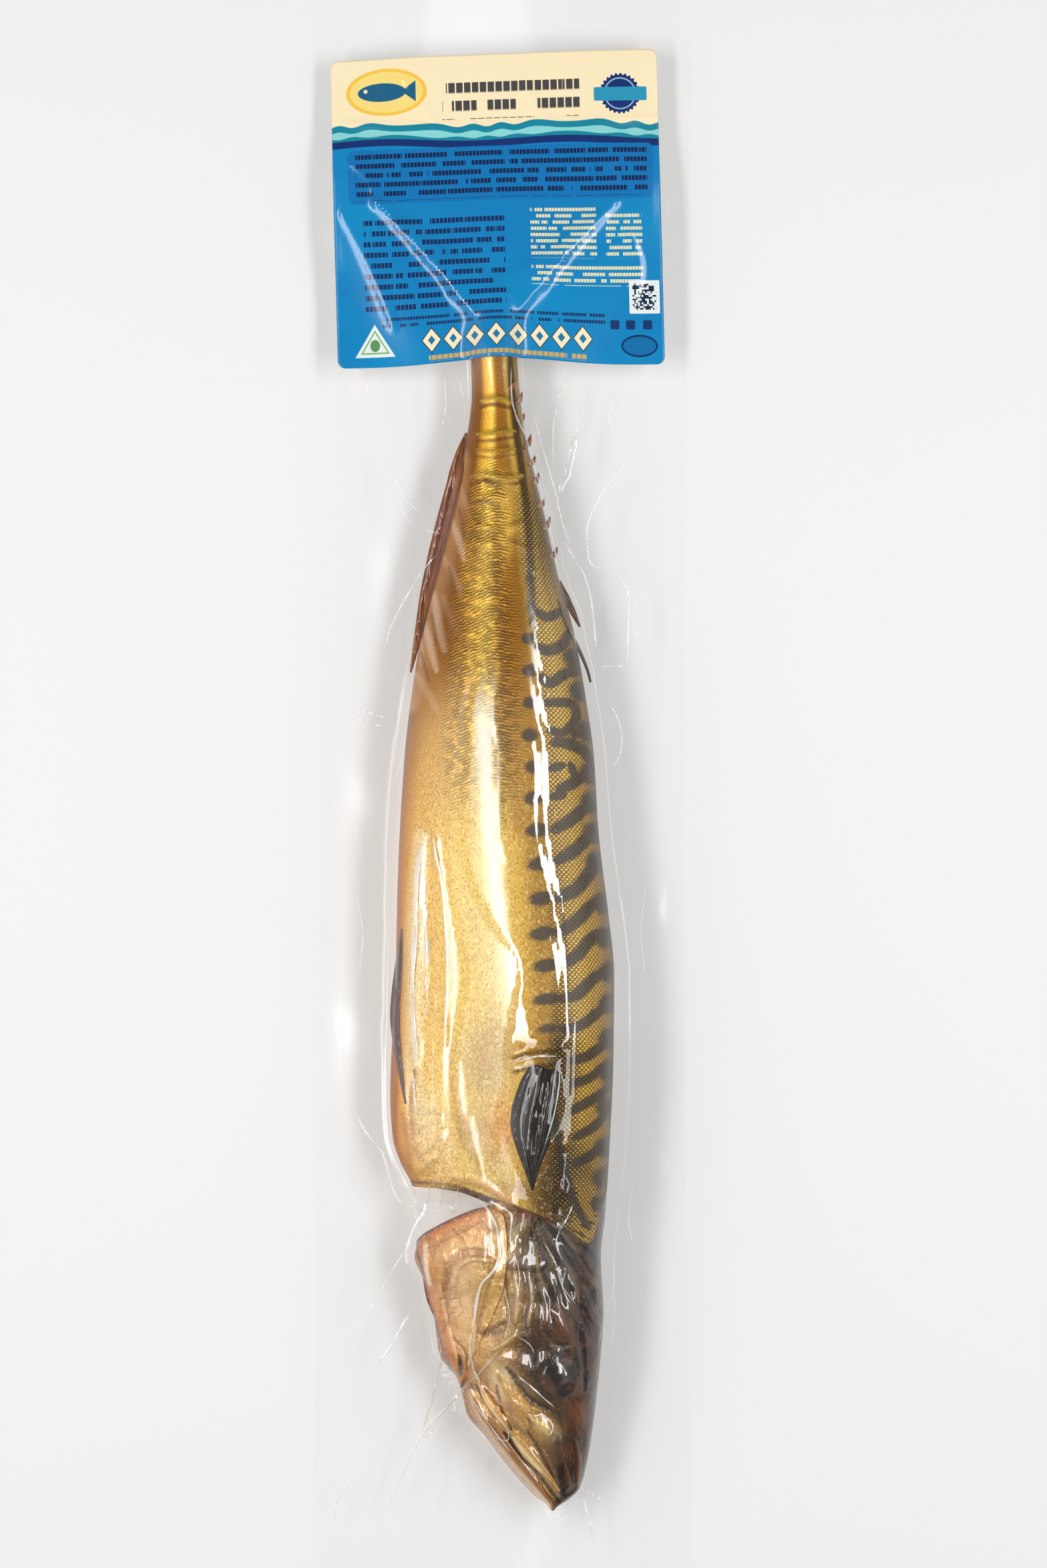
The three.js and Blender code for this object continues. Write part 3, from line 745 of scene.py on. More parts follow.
# Strokes of colour and relief together. The dark ones lie in grooves and the pale ones on ridges,
# so their colour is partly the skin's own and partly painted shade in the grooves and painted
# highlight on the ridges.
for points, width, colour, strength, height in [
    ([(1.1, -147.8), (1.7, -154.9), (2.1, -161)], 1.1, umber, 0.6, -0.3),
    ([(3.8, -144.7), (4.8, -153.9), (4.2, -162)], 1.2, pale, 0.5, 0.4),
    ([(6, -142), (7, -152), (6.4, -162)], 1, umber, 0.6, -0.3),
    ([(8.2, -146), (9, -154), (8, -163)], 1, pale, 0.4, 0.3),
    ([(-6, -166.1), (-1.3, -164.7), (1.1, -162.5)], 2.6, umber, 0.7, -0.3),
    ([(-3, -171), (1, -168.6), (4, -166)], 1.4, (220, 180, 110), 0.6, 0.3),
    ([(0.1, -142.7), (5.8, -144.1), (12.3, -144.5)], 2.4, (146, 134, 118), 0.7, 0.3),
    ([(0.1, -145.4), (5.8, -146.6), (11.3, -147)], 1.2, umber, 0.5, -0.3),
    ([(9.9, -131.9), (12.9, -139.6), (16, -146.8), (17.6, -153.9), (19.7, -158.4)], 1.5, black,
     0.9, -0.5),
    ([(11.1, -130.5), (16.4, -137.6), (20.1, -144.7), (22.5, -150.8), (24.5, -158)], 1.6, black,
     0.9, -0.5),
    ([(8.9, -133.5), (9.5, -141.7), (12.3, -149.8), (14.4, -157)], 1.4, dark, 0.8, -0.45),
    ([(12.9, -128.4), (19, -134.5), (22.5, -141.7), (24.1, -147.8)], 1.6, black, 0.9, -0.5),
    ([(10.4, -133), (13.8, -141), (16.6, -149), (18.4, -156)], 1.2, (150, 132, 100), 0.6, 0.45),
    ([(12.4, -132), (17.8, -140.6), (21.2, -148), (23.2, -156)], 1.2, (120, 108, 86), 0.6, 0.45),
    ([(15, -131.4), (20.8, -138), (24, -145)], 1.2, (120, 108, 86), 0.6, 0.45),
    ([(9.2, -137), (11, -146), (13.6, -154)], 1.1, (170, 140, 84), 0.6, 0.4),
    ([(11.8, -158), (12.4, -163), (16, -168.6), (20, -169)], 1.6, dark, 0.7, -0.3),
    ([(23.7, -163), (24.4, -172), (25, -184)], 1.4, black, 0.8, -0.5),
    ([(1.7, -176.3), (4.8, -180.4), (8.4, -185.3), (14, -188.8)], 2.4, black, 0.85, -0.6),
    ([(-1.3, -178.3), (1.7, -183.4), (4.8, -189.5), (7.8, -194.6)], 2.6, gold, 0.8, 0.6),
    ([(-1.5, -182), (-0.6, -188), (1.4, -194)], 1, umber, 0.7, -0.4),
    ([(5, -186.6), (8.4, -190.6), (11, -193)], 1.8, (236, 196, 116), 0.8, 0.5),
    ([(9.4, -192), (13, -194.4), (17, -197.7)], 3, (232, 200, 130), 0.8, 0.7),
    ([(-9.9, -184.9), (-6.4, -189.5), (-2.3, -194.2), (1.1, -197.9)], 3, gold, 0.85, 0.7),
    ([(-8, -182.4), (-4.4, -187.4), (0.2, -192.6), (3, -196)], 1.1, dark, 0.85, -0.5),
    ([(3.4, -196.7), (6.8, -200.7), (10.3, -206.4), (13.5, -211.9), (16.4, -216.6)], 4, gold, 0.8,
     0.6),
    ([(0.7, -196.7), (4.8, -201.8), (9.9, -207.9), (14.4, -214), (17.6, -218.7)], 1.2, dark, 0.95,
     -0.8),
    ([(8, -196), (12, -203), (15.6, -211)], 1.2, dark, 0.6, -0.35),
    ([(11, -200), (14.4, -206), (17, -212)], 1.2, (140, 100, 52), 0.6, 0.35),
    ([(17, -197), (18.4, -205), (20.6, -213)], 1.3, rust, 0.6, 0.3),
    ([(19, -204.8), (17.6, -210.9), (19, -216), (22.5, -214)], 2, black, 0.8, -0.4),
    ([(22.4, -199), (23.4, -206), (23, -213)], 1.3, (104, 60, 32), 0.7, 0.35),
    ([(7, -131), (3, -138), (1.5, -143)], 2.4, (206, 180, 128), 0.6, 0.2),
]:
    touched = stroke(head_x, head_y, points, width, soft=0.7)
    head_colour = lay_on(head_colour, colour, strength * touched)
    head_relief += HEAD_FOLD_DEPTH * height * touched
for centre, half_width, half_length, height in [
    ((17.2, -179.5), 8.5, 8, 1.1), ((15.6, -162), 6, 5, 0.8), ((13, -196), 4, 3.4, 0.7),
    ((9, -170), 5, 3, -0.7),
]:
    head_relief += height * spot(head_x, head_y, centre, half_width, half_length)

# The skin behind the cheek is drawn into folds that fan out from the pectoral fin's root.
FAN_CENTRE = (8, -124)
FAN_MAP_DEGREES = 6
HEAD_MAP_UNIT = 16
from_fan_x, from_fan_y = head_x - FAN_CENTRE[0], head_y - FAN_CENTRE[1]
fan_angle = np.degrees(np.arctan2(from_fan_x, -from_fan_y))
fan_reach = np.hypot(from_fan_x, from_fan_y)
head_uv = np.stack([fan_angle / FAN_MAP_DEGREES, fan_reach / HEAD_MAP_UNIT], -1)
creased = smooth_step(0.42, 0.6, across) * smooth_step(-214, -196, head_y)
wander = lumps(head_x, head_y, 4, 11) * 1.6
fan_folds = np.sin(fan_angle * 0.95 + wander) + 0.6 * np.sin(fan_angle * 1.9 + 2 * wander)
fan_zone = creased * smooth_step(-172, -160, head_y) * smooth_step(2, 8, fan_reach)
head_relief += 0.32 * fan_folds * fan_zone
head_relief += 0.28 * lumps(head_x, head_y, 3.4, 5) + 0.08 * lumps(head_x, head_y * 0.6, 1.4, 6)
long_lumps = lumps(head_x * 1.4, head_y * 0.5, 2.6, 7)
head_relief += 0.28 * creased * long_lumps * smooth_step(-200, -170, head_y)
# The troughs of the fan folds are painted near black: painted shade in the folds.
head_colour = lay_on(head_colour, (18, 14, 11), 0.6 * fan_zone * smooth_step(0.2, -0.9, fan_folds))
inner = smooth_step(0, 0.05, across) * smooth_step(1, 0.95, across)
head_top = head_top + head_relief * inner
wet = smooth_step(0.4, 0.62, across)

HEAD_BUMP = 0.0008
skin_head, tree, output = new_finish("skin_head")
place = shader_node(tree, "ShaderNodeTexCoord", output="Object")
fan = shader_node(tree, "ShaderNodeUVMap", uv_map="surface")
fine = noise(tree, place, 900, 3, 0.6)
broad = noise(tree, place, 160, 3, 0.55)
folds = noise(tree, fan, 1.4, 3, 0.6, 0.6)
wrinkles = noise(tree, stretched(tree, place, (1, 0.4, 1)), 420, 3, 0.6, 0.8)
fold_share, wet_share = attribute(tree, "creased"), attribute(tree, "wet")
# The base colour is darkened in the low parts of the folds and lightened on their crests, following
# the folds' own bump: painted shade and painted highlight.
flecked_and_fold_shaded = laid_over(attribute(tree, "paint", "Color"), [
    (ramp(broad, 0.45, 0.72) * 0.34, (128, 76, 30)),
    (ramp(folds, 0.5, 0.3) * fold_share * 0.7, (22, 16, 12)),
    (ramp(folds, 0.56, 0.75) * fold_share * 0.3, (150, 110, 60)),
    (ramp(wrinkles, 0.5, 0.32) * 0.35, (110, 70, 34)),
    (ramp(fine, 0.5, 0.72) * (0.36 - wet_share * 0.32), (250, 210, 136)),
])
fine_relief = fine * 0.25 + wrinkles * 0.5 + folds * fold_share * 1.8
coated(tree, output, {
    "Base Color": flecked_and_fold_shaded,
    "Metallic": 0.25,
    "Roughness": ramp(broad, 0.2, 0.8) * 0.1 + 0.2 - wet_share * 0.08,
    "Normal": raised(tree, fine_relief, 0.8, HEAD_BUMP),
})

upper = np.stack([head_x, head_y, head_top], -1)
lower = np.stack([head_x, head_y, head_bottom], -1)
solid_piece(
    "fish_head",
    two_sides(upper, lower),
    skin_head,
    uv=two_sides(head_uv, head_uv),
    attributes=on_both_sides(paint=head_colour, creased=creased, wet=wet),
)

# ---------------------------------------------------------------------------------------------
# Gill cover. A thin bony plate behind the cheek, under smoked skin, with an amber edge that
# stands over the throat.
# ---------------------------------------------------------------------------------------------


def fish_top(x, y):
    """The plain fish's upper height."""
    return fish_z(x, y)[0]


def blade(spine, left, right, thickness, base=fish_top, along=60, around=12, power=0.5, sink=0.3):
    """Rings of a lens-shaped blade: it follows a smooth line, reaches left and right of it by
    widths at even shares of its length, lies on a base height, and bulges upwards by its
    thickness times a power of one less the square of the share across."""
    line = smooth_line(spine, 24)
    steps = np.hypot(*np.diff(line, axis=0).T)
    shares = np.concatenate([[0], np.cumsum(steps)]) / steps.sum()
    v = np.linspace(0, 1, along)
    centre = np.stack([np.interp(v, shares, line[:, k]) for k in range(2)], -1)
    heading = np.gradient(centre, axis=0)
    heading /= np.hypot(*heading.T)[:, None]
    side = np.stack([heading[:, 1], -heading[:, 0]], -1)
    s = np.sin(np.linspace(-0.5, 0.5, around) * math.pi)[None, :]
    reach_left, reach_right, high = (
        np.interp(v, np.linspace(0, 1, len(widths)), widths)[:, None]
        for widths in (left, right, thickness)
    )
    offset = np.where(s < 0, s * reach_left, s * reach_right)
    x = centre[:, :1] + side[:, :1] * offset
    y = centre[:, 1:] + side[:, 1:] * offset
    bed = base(x, y)
    bulge = high * np.power(np.clip(1 - s * s, 0, 1), power)
    return two_sides(np.stack([x, y, bed + bulge], -1), np.stack([x, y, bed - sink], -1))


gill_outline = [
    (-3.9, -126.9), (-8.5, -128.4), (-14.6, -131.2), (-19.6, -134), (-24, -137), (-25.8, -139.2),
    (-26.1, -141.4), (-24.8, -146.3), (-23, -156.9), (-20.6, -163), (-18.2, -171.9), (-15.6, -178),
    (-12.8, -184.2),
]
gill_left = curve_through([(y, x) for x, y in gill_outline])
gill_right = curve_through([
    (-126.9, -3.5), (-130, 0.5), (-138, 1.6), (-150, 0.8), (-160, -2.6), (-170, -7.2),
    (-180, -11), (-184.2, -12.3),
])
GILL_ROWS = 190
GILL_COLUMNS = 80
GILL_EDGE_RISE = 0.2
GILL_DEPTH = 0.7
gy = np.linspace(-126.9, -184.2, GILL_ROWS)[:, None]
gill_share = eased(np.linspace(0, 1, GILL_COLUMNS), 0.6)[None, :]
gx = gill_left(gy) + (gill_right(gy) - gill_left(gy)) * gill_share
gy = gy + 0 * gx
from_edge, _ = line_distance(gx, gy, gill_outline, 40)
gill_colour = across_colours(
    [0, 0.5, 1, 2, 3.6, 6, 10, 14],
    [(70, 30, 10), (120, 58, 18), (188, 100, 30), (206, 128, 56), (210, 146, 80),
     (216, 162, 98), (224, 178, 116), (208, 160, 92)],
    from_edge,
)
for centre, half_width, half_length, turn, colour, strength in [
    ((-11.6, -151), 5, 10, 0, (230, 188, 138), 0.8),
    ((-4.6, -149), 4.4, 10, 0, (196, 156, 78), 0.8),
    ((-8, -134), 8, 3, 24, (216, 156, 96), 0.5), ((-5, -168), 4, 8, 0, (216, 170, 98), 0.7),
    ((-2, -134), 4, 7, 0, (196, 160, 110), 0.8), ((-13, -175), 3, 5, 0, (196, 128, 66), 0.7),
]:
    touched = spot(gx, gy, centre, half_width, half_length, turn)
    gill_colour = lay_on(gill_colour, colour, strength * touched)
gill_relief = 1.2 * smooth_step(0, 1.4, from_edge) * (1 - 0.85 * smooth_step(0.72, 1, gill_share))
gill_relief = gill_relief + 0.14 * lumps(gx, gy, 2.6, 8) + 0.08 * lumps(gx, gy, 1.2, 9)
# Strokes of colour and relief together. The dark ones lie in grooves and the pale ones on ridges,
# so their colour is partly the plate's own and partly painted shade and painted highlight.
for points, width, colour, strength, height in [
    # A painted highlight: a near-white line along the plate's raised left edge.
    ([(-23.2, -139.6), (-23, -146), (-21.8, -152)], 1.5, (255, 240, 216), 0.7, 0.5),
    ([(-4, -141.3), (-10.5, -141.3), (-14.6, -143.7), (-16.6, -149.4), (-17, -157.6), (-17, -164)],
     2.6, (160, 104, 62), 0.6, -0.4),
    ([(-3, -143.4), (-9, -143.2), (-12.6, -145.6), (-14.4, -150), (-14.8, -158)], 1.4,
     (240, 210, 156), 0.4, 0.35),
    ([(-1.5, -143.7), (-4, -152), (-6.5, -162), (-9.3, -174.3)], 1.2, (150, 104, 62), 0.6, -0.3),
    ([(-4, -134), (-3.4, -141), (-3.6, -147)], 1, (130, 90, 54), 0.5, -0.2),
    ([(-20, -137), (-17, -146), (-18.6, -156)], 0.9, (190, 120, 72), 0.5, 0.2),
    ([(-6, -166.1), (-3.4, -165.4), (-1.3, -164.7)], 2, umber, 0.7, -0.3),
    ([(-14.6, -168), (-11, -172), (-10.4, -178)], 0.9, umber, 0.6, -0.2),
    ([(-12.9, -173.6), (-12.4, -176.6), (-12.6, -179.4)], 1.5, (40, 22, 14), 0.95, -0.3),
    ([(-8, -164), (-8.6, -170), (-10, -176)], 1, (250, 226, 176), 0.6, 0.3),
    ([(-18.6, -152), (-17.4, -160), (-15.4, -168), (-13.6, -174)], 0.9, (240, 196, 146), 0.6, 0.25),
    ([(-22.4, -141), (-14, -136), (-6, -131.4)], 0.9, (180, 106, 60), 0.45, 0.25),
    ([(-15, -134), (-11, -138), (-9, -143)], 0.8, (180, 110, 68), 0.5, 0.2),
]:
    touched = stroke(gx, gy, points, width, taper=0.2)
    gill_colour = lay_on(gill_colour, colour, strength * touched)
    gill_relief = gill_relief + height * touched
# Fine veins spread like a fan over the plate's middle.
GILL_VEINS = 9
for k in range(GILL_VEINS):
    bearing = math.radians(150 + 11 * k + 4 * math.sin(3.3 * k))
    reach, length = 6.2 + 1.2 * math.sin(2.1 * k), 2.6 + 1.4 * math.sin(1.7 * k + 1)
    start = (-9.4 + reach * 0.9 * math.cos(bearing), -153 + 1.4 * reach * math.sin(bearing))
    end = (start[0] + length * math.cos(bearing), start[1] + 0.6 * length * math.sin(bearing))
    touched = stroke(gx, gy, [start, end], 0.7, taper=0.6)
    gill_colour = lay_on(gill_colour, (150, 100, 56), 0.5 * touched)
    gill_relief = gill_relief - 0.12 * touched
gill_base = fish_top(gx, gy)
gill_uv = np.stack([gx, gy], -1) / HEAD_MAP_UNIT
nothing = np.zeros(gx.shape)
solid_piece(
    "gill_cover",
    two_sides(
        np.stack([gx, gy, gill_base + GILL_EDGE_RISE + gill_relief], -1),
        np.stack([gx, gy, gill_base - GILL_DEPTH], -1),
    ),
    skin_head,
    uv=two_sides(gill_uv, gill_uv),
    attributes=on_both_sides(paint=gill_colour, creased=nothing, wet=nothing),
)

# ---------------------------------------------------------------------------------------------
# Jaws. The lower jaw's long rounded bone, the short bar behind the mouth's corner, and the upper
# jaw's bone that hangs over it from the snout, all under wet smoked skin.
# ---------------------------------------------------------------------------------------------
jaw_rings = [
    blade([(-10, -182), (-8.4, -188), (-4, -195), (2.6, -204.2), (9, -212), (15.2, -219.6)],
          [0.4, 2, 2.4, 2.6, 2.6, 2.4, 1.8, 0.6], [0.4, 1.6, 2.2, 2.6, 2.6, 2.4, 1.8, 0.6],
          [0.4, 2, 2.6, 2.6, 2.2, 1.4], along=130, around=30, sink=1.5),
    blade([(-7, -181.6), (-4, -187), (0.2, -192.6), (2.6, -196)],
          [0.3, 1.3, 1.6, 1.3, 0.3], [0.3, 1.3, 1.5, 1.2, 0.3], [0.3, 1.9, 2.2, 1.7, 0.3],
          along=70, around=20, sink=1),
    blade([(1.8, -195.4), (6, -200), (10.4, -205.2), (14.8, -211), (17.6, -215)],
          [0.3, 1.6, 1.5, 1.3, 1, 0.3], [0.3, 2, 2.6, 1.9, 1.2, 0.3],
          [0.3, 1.5, 1.8, 1.4, 0.9, 0.2], along=90, around=20, sink=1),
]
jaw_colours = []
# Each bone's colour runs from painted shade at its edges, through its own colour, to a painted
# highlight a little past its middle.
for rings, main, shaded_edge, lit in [
    (jaw_rings[0], (160, 110, 66), (84, 46, 22), (226, 182, 130)),
    (jaw_rings[1], (206, 150, 74), (96, 54, 20), (252, 224, 160)),
    (jaw_rings[2], (196, 150, 82), (64, 38, 20), (246, 220, 156)),
]:
    there = np.linspace(0, 1, rings.shape[1] // 2)
    share = np.concatenate([there, there[::-1]])
    bone = across_colours(
        [0, 0.2, 0.45, 0.62, 0.85, 1], [shaded_edge, main, main, lit, main, shaded_edge], share
    )
    jaw_colours.append(np.broadcast_to(bone[None], (*rings.shape[:2], 3)))
jaw_colour = np.concatenate([c.reshape(-1, 3) for c in jaw_colours])
nothing = np.zeros(len(jaw_colour))
JAW_WETNESS = 0.6
solid_piece(
    "jaws",
    jaw_rings,
    skin_head,
    uv=np.concatenate([r[..., :2].reshape(-1, 2) for r in jaw_rings]) / HEAD_MAP_UNIT,
    attributes={"paint": jaw_colour, "creased": nothing, "wet": nothing + JAW_WETNESS},
)

# ---------------------------------------------------------------------------------------------
# Throat. Dark dried flesh at the bed of the cut between belly and gill cover, where the fish was
# opened to be gutted.
# ---------------------------------------------------------------------------------------------


def throat_bed(x, y):
    """The bed of the cut: half of the flank's height."""
    return seam_height(y) + 0.5 * (fish_top(x, y) - seam_height(y))


flesh, tree, output = new_finish("flesh")
place = shader_node(tree, "ShaderNodeTexCoord", output="Object")
fibres = noise(tree, place, 500, 3, 0.6)
meat = mixed(ramp(fibres, 0.35, 0.7), solid_colour(70, 36, 16), solid_colour(140, 82, 34))
coated(tree, output, {"Base Color": meat, "Roughness": 0.45})
throat_reach = [0.4, 1.4, 1.8, 1.6]
solid_piece(
    "throat_lining",
    blade([(-24, -122), (-14, -122.2), (-7, -124), (2, -127.8)], throat_reach, throat_reach,
          [0.2, 1, 1, 0.2], base=throat_bed, along=40, around=24, sink=4),
    flesh,
)

# ---------------------------------------------------------------------------------------------
# Eye. A low dark dome, glossy under the film, seated in the middle of the head's round socket.
# The smoke has dulled it with a brown haze.
# ---------------------------------------------------------------------------------------------
EYE_CENTRE = (17.4, -179.6)
EYE_RADIUS = 6.2
EYE_DOME = 1.6
eye_finish, tree, output = new_finish("eye")
place = shader_node(tree, "ShaderNodeTexCoord", output="Object")
brown_haze = noise(tree, place, 300, 2, 0.5)
pupil = mixed(ramp(brown_haze, 0.4, 0.7), solid_colour(18, 13, 10), solid_colour(84, 52, 30))
coated(tree, output, {"Base Color": pupil, "Roughness": 0.12})
round_off = np.sqrt(1 - np.linspace(-0.999, 0.999, 61) ** 2)
eye_line = [(EYE_CENTRE[0], EYE_CENTRE[1] + offset) for offset in (EYE_RADIUS, 0, -EYE_RADIUS)]
solid_piece(
    "eye",
    blade(eye_line, EYE_RADIUS * round_off, EYE_RADIUS * round_off, EYE_DOME * round_off,
          along=60, around=40),
    eye_finish,
)

# ---------------------------------------------------------------------------------------------
# Fins. Thin rayed blades of skin over fine bones, dried dark brown by the smoke and stuck flat on
# the flank by the vacuum.
# ---------------------------------------------------------------------------------------------


def rayed(rings, dark, light, count):
    """Colours of a fin's blade: rays of the two tones side by side, a given number across."""
    around = rings.shape[1] // 2
    share = np.linspace(0, 1, around)
    rays = 0.5 + 0.5 * np.sin(share * count * 2 * math.pi + 0.8 * np.sin(share * 9))
    lit = np.concatenate([rays, rays[::-1]])[None, :, None] ** 1.5 + np.zeros((len(rings), 1, 1))
    return pigment(*dark) + (pigment(*light) - pigment(*dark)) * lit


FIN_BUMP = 0.0007
fin_finish, tree, output = new_finish("fin")
place = shader_node(tree, "ShaderNodeTexCoord", output="Object")
rays = noise(tree, stretched(tree, place, (1, 0.2, 1)), 300, 2, 0.45, 1.2)
between_rays = ramp(rays, 0.5, 0.3) * 0.5
coated(tree, output, {
    "Base Color": laid_over(attribute(tree, "paint", "Color"), [(between_rays, (24, 14, 8))]),
    "Roughness": 0.08,
    "Specular IOR Level": 0.45,
    "Normal": raised(tree, rays, 0.8, FIN_BUMP),
})

PECTORAL_ALONG = 110
PECTORAL_AROUND = 64
pectoral_rings = blade(
    [(13.4, -85), (11, -94), (9, -103), (8.8, -112), (9.3, -122)],
    [3.6, 5.2, 6, 6.8, 6.6, 5.6, 3.6, 1.6, 0.2],
    [4.6, 6.2, 6.8, 7, 6.4, 4.8, 3.2, 1.6, 0.2],
    [0.7, 1.7, 2, 2, 1.6, 1.2, 0.7, 0.3],
    along=PECTORAL_ALONG, around=PECTORAL_AROUND, power=0.45,
)
ray_share = np.linspace(0, 1, PECTORAL_AROUND)
ray_waves = np.sin(ray_share * 40 + 1.2 * np.sin(ray_share * 7))
ray_ridges = 0.35 * ray_waves * np.sin(math.pi * ray_share)
ray_fade = np.sin(math.pi * np.linspace(0.04, 0.96, PECTORAL_ALONG))[:, None]
pectoral_rings[:, :PECTORAL_AROUND, 2] += ray_ridges * ray_fade
solid_piece(
    "pectoral_fin",
    pectoral_rings,
    fin_finish,
    attributes={"paint": rayed(pectoral_rings, (18, 13, 9), (44, 32, 20), 7)},
)
pelvic_rings = blade(
    [(-30.4, -44), (-31.8, -58), (-32.6, -70), (-31.8, -80), (-29.2, -97)],
    [0.3, 1.2, 1.5, 1.5, 1.2, 0.8, 0.3], [0.3, 0.9, 1.3, 1.5, 1.3, 0.8, 0.3],
    [0.2, 0.8, 1, 0.8, 0.3],
)
solid_piece(
    "pelvic_fin", pelvic_rings, fin_finish,
    attributes={"paint": rayed(pelvic_rings, (52, 22, 12), (120, 62, 34), 2)},
)
ANAL_ALONG = 140
anal_rings = blade(
    [(-10.6, 107), (-12.6, 101), (-14.6, 91.6), (-17.6, 80), (-20.6, 68), (-23.4, 56), (-26, 43),
     (-27.8, 34)],
    [0.5, 2.2, 2.6, 2.4, 2, 1.5, 0.3], [0.6, 2.2, 2.4, 2.4, 2, 1.2, 0.3],
    [0.3, 1, 1.1, 1, 0.8, 0.2], along=ANAL_ALONG, around=24,
)
anal_paint = rayed(anal_rings, (104, 46, 10), (176, 100, 30), 3)
anal_share = np.linspace(0, 1, ANAL_ALONG)[:, None, None]
purple = smooth_step(0.18, 0.36, anal_share) * smooth_step(0.72, 0.56, anal_share)
anal_paint = anal_paint + (pigment(116, 66, 54) - anal_paint) * 0.6 * purple
solid_piece("anal_fin", anal_rings, fin_finish, attributes={"paint": anal_paint})
dorsal_rings = [
    blade([(17.6, 62), (20.6, 55), (23.8, 47.9)],
          [0.3, 0.9, 0.9, 0.3], [0.3, 1.1, 1.1, 0.3], [0.2, 0.9, 0.9, 0.2], along=40),
    blade([(17.2, 56), (19.2, 49.8), (22.8, 42.4), (25.8, 35.4), (27, 31)],
          [0.2, 0.5, 0.6, 0.4], [0.2, 0.5, 0.5, 0.3], [0.2, 0.7, 0.7, 0.3], along=40),
]
dorsal_paint = [
    rayed(dorsal_rings[0], (84, 48, 26), (150, 104, 62), 2),
    rayed(dorsal_rings[1], (44, 30, 20), (96, 66, 36), 1),
]
solid_piece(
    "dorsal_fin", dorsal_rings, fin_finish,
    attributes={"paint": np.concatenate([p.reshape(-1, 3) for p in dorsal_paint])},
)
finlet_rings, finlet_paint = [], []
for fx, fy, length in [
    (5.2, 122, 3), (6.9, 118, 4.4), (7.6, 112, 3), (9.6, 105, 4.4), (10.9, 99, 3), (12, 93.4, 4),
    (13.8, 86, 3), (15.4, 80, 4), (17.6, 71, 3.4),
]:
    rings = blade(
        [(fx - 2.8, fy - length * 0.7), (fx - 1.3, fy - length * 0.2),
         (fx - 0.7, fy + length * 0.4)],
        [0.5, 1, 0.7, 0.1], [0.5, 0.8, 0.5, 0.1], [0.3, 0.8, 0.6, 0.1], along=24, around=8,
    )
    finlet_rings.append(rings)
    finlet_paint.append(rayed(rings, (104, 58, 20), (170, 108, 40), 1).reshape(-1, 3))
solid_piece(
    "finlets", finlet_rings, fin_finish,
    attributes={"paint": np.concatenate(finlet_paint)},
)

# ---------------------------------------------------------------------------------------------
# Tail fin. Two stiff ribbed lobes of dried skin over bone, spread from the end of the body. The
# label hides them, so their shape is a plain mackerel's.
# ---------------------------------------------------------------------------------------------
TAIL_ROOT = (-2, 141)
TAIL_LENGTH = 37
TAIL_SPREAD = 37
TAIL_ROOT_HALF = 5.5
TAIL_FORK = 0.36
TAIL_ROWS = 50
TAIL_COLUMNS = 81
lobe = np.linspace(-1, 1, TAIL_COLUMNS)[None, :]
out = np.linspace(0, 1, TAIL_ROWS)[:, None]
tail_reach = TAIL_FORK + 0.64 * np.abs(lobe) ** 1.3
tail_x = TAIL_ROOT[0] + lobe * (TAIL_ROOT_HALF + (TAIL_SPREAD - TAIL_ROOT_HALF) * out**1.15)
tail_y = TAIL_ROOT[1] + TAIL_LENGTH * out * tail_reach
rib = 0.12 * np.sin(lobe * 60) * smooth_step(0, 0.2, out)
half_thick = (1.6 - 1.1 * out) * (0.5 + 0.5 * np.abs(lobe)) + 0 * tail_x
tail_mid = seam_height(tail_y) + 0.6
solid_piece(
    "tail_fin",
    two_sides(
        np.stack([tail_x, tail_y, tail_mid + half_thick + rib], -1),
        np.stack([tail_x, tail_y, tail_mid - half_thick + rib], -1),
    ),
    fin_finish,
    attributes={"paint": np.ones((TAIL_ROWS, 2 * TAIL_COLUMNS, 3)) * pigment(120, 82, 44)},
)

# ---------------------------------------------------------------------------------------------
# Film pouch. Two clear plastic films sealed along all four sides and sucked tight round the fish;
# they bridge its hollows in short webs and meet in a slightly wavy margin.
# ---------------------------------------------------------------------------------------------
POUCH_LENGTH = 486
POUCH_END_WIDTH = 117
POUCH_WAIST_WIDTH = 111
FILM_GAP = 0.35
FILM_ROWS = 440
FILM_MARGIN_COLUMNS = 14
FILM_FISH_COLUMNS = 70
FILM_FISH_END = FILM_MARGIN_COLUMNS + FILM_FISH_COLUMNS
FILM_PASSES = 160
FILM_PULL = 0.12
FILM_LOWEST_Z = 0.15


def pouch_half_width(y):
    """Half the pouch's width: widest at its ends, drawn in where the fish is thick."""
    endness = (np.abs(y) / (POUCH_LENGTH / 2)) ** 2
    return (POUCH_WAIST_WIDTH + (POUCH_END_WIDTH - POUCH_WAIST_WIDTH) * endness) / 2


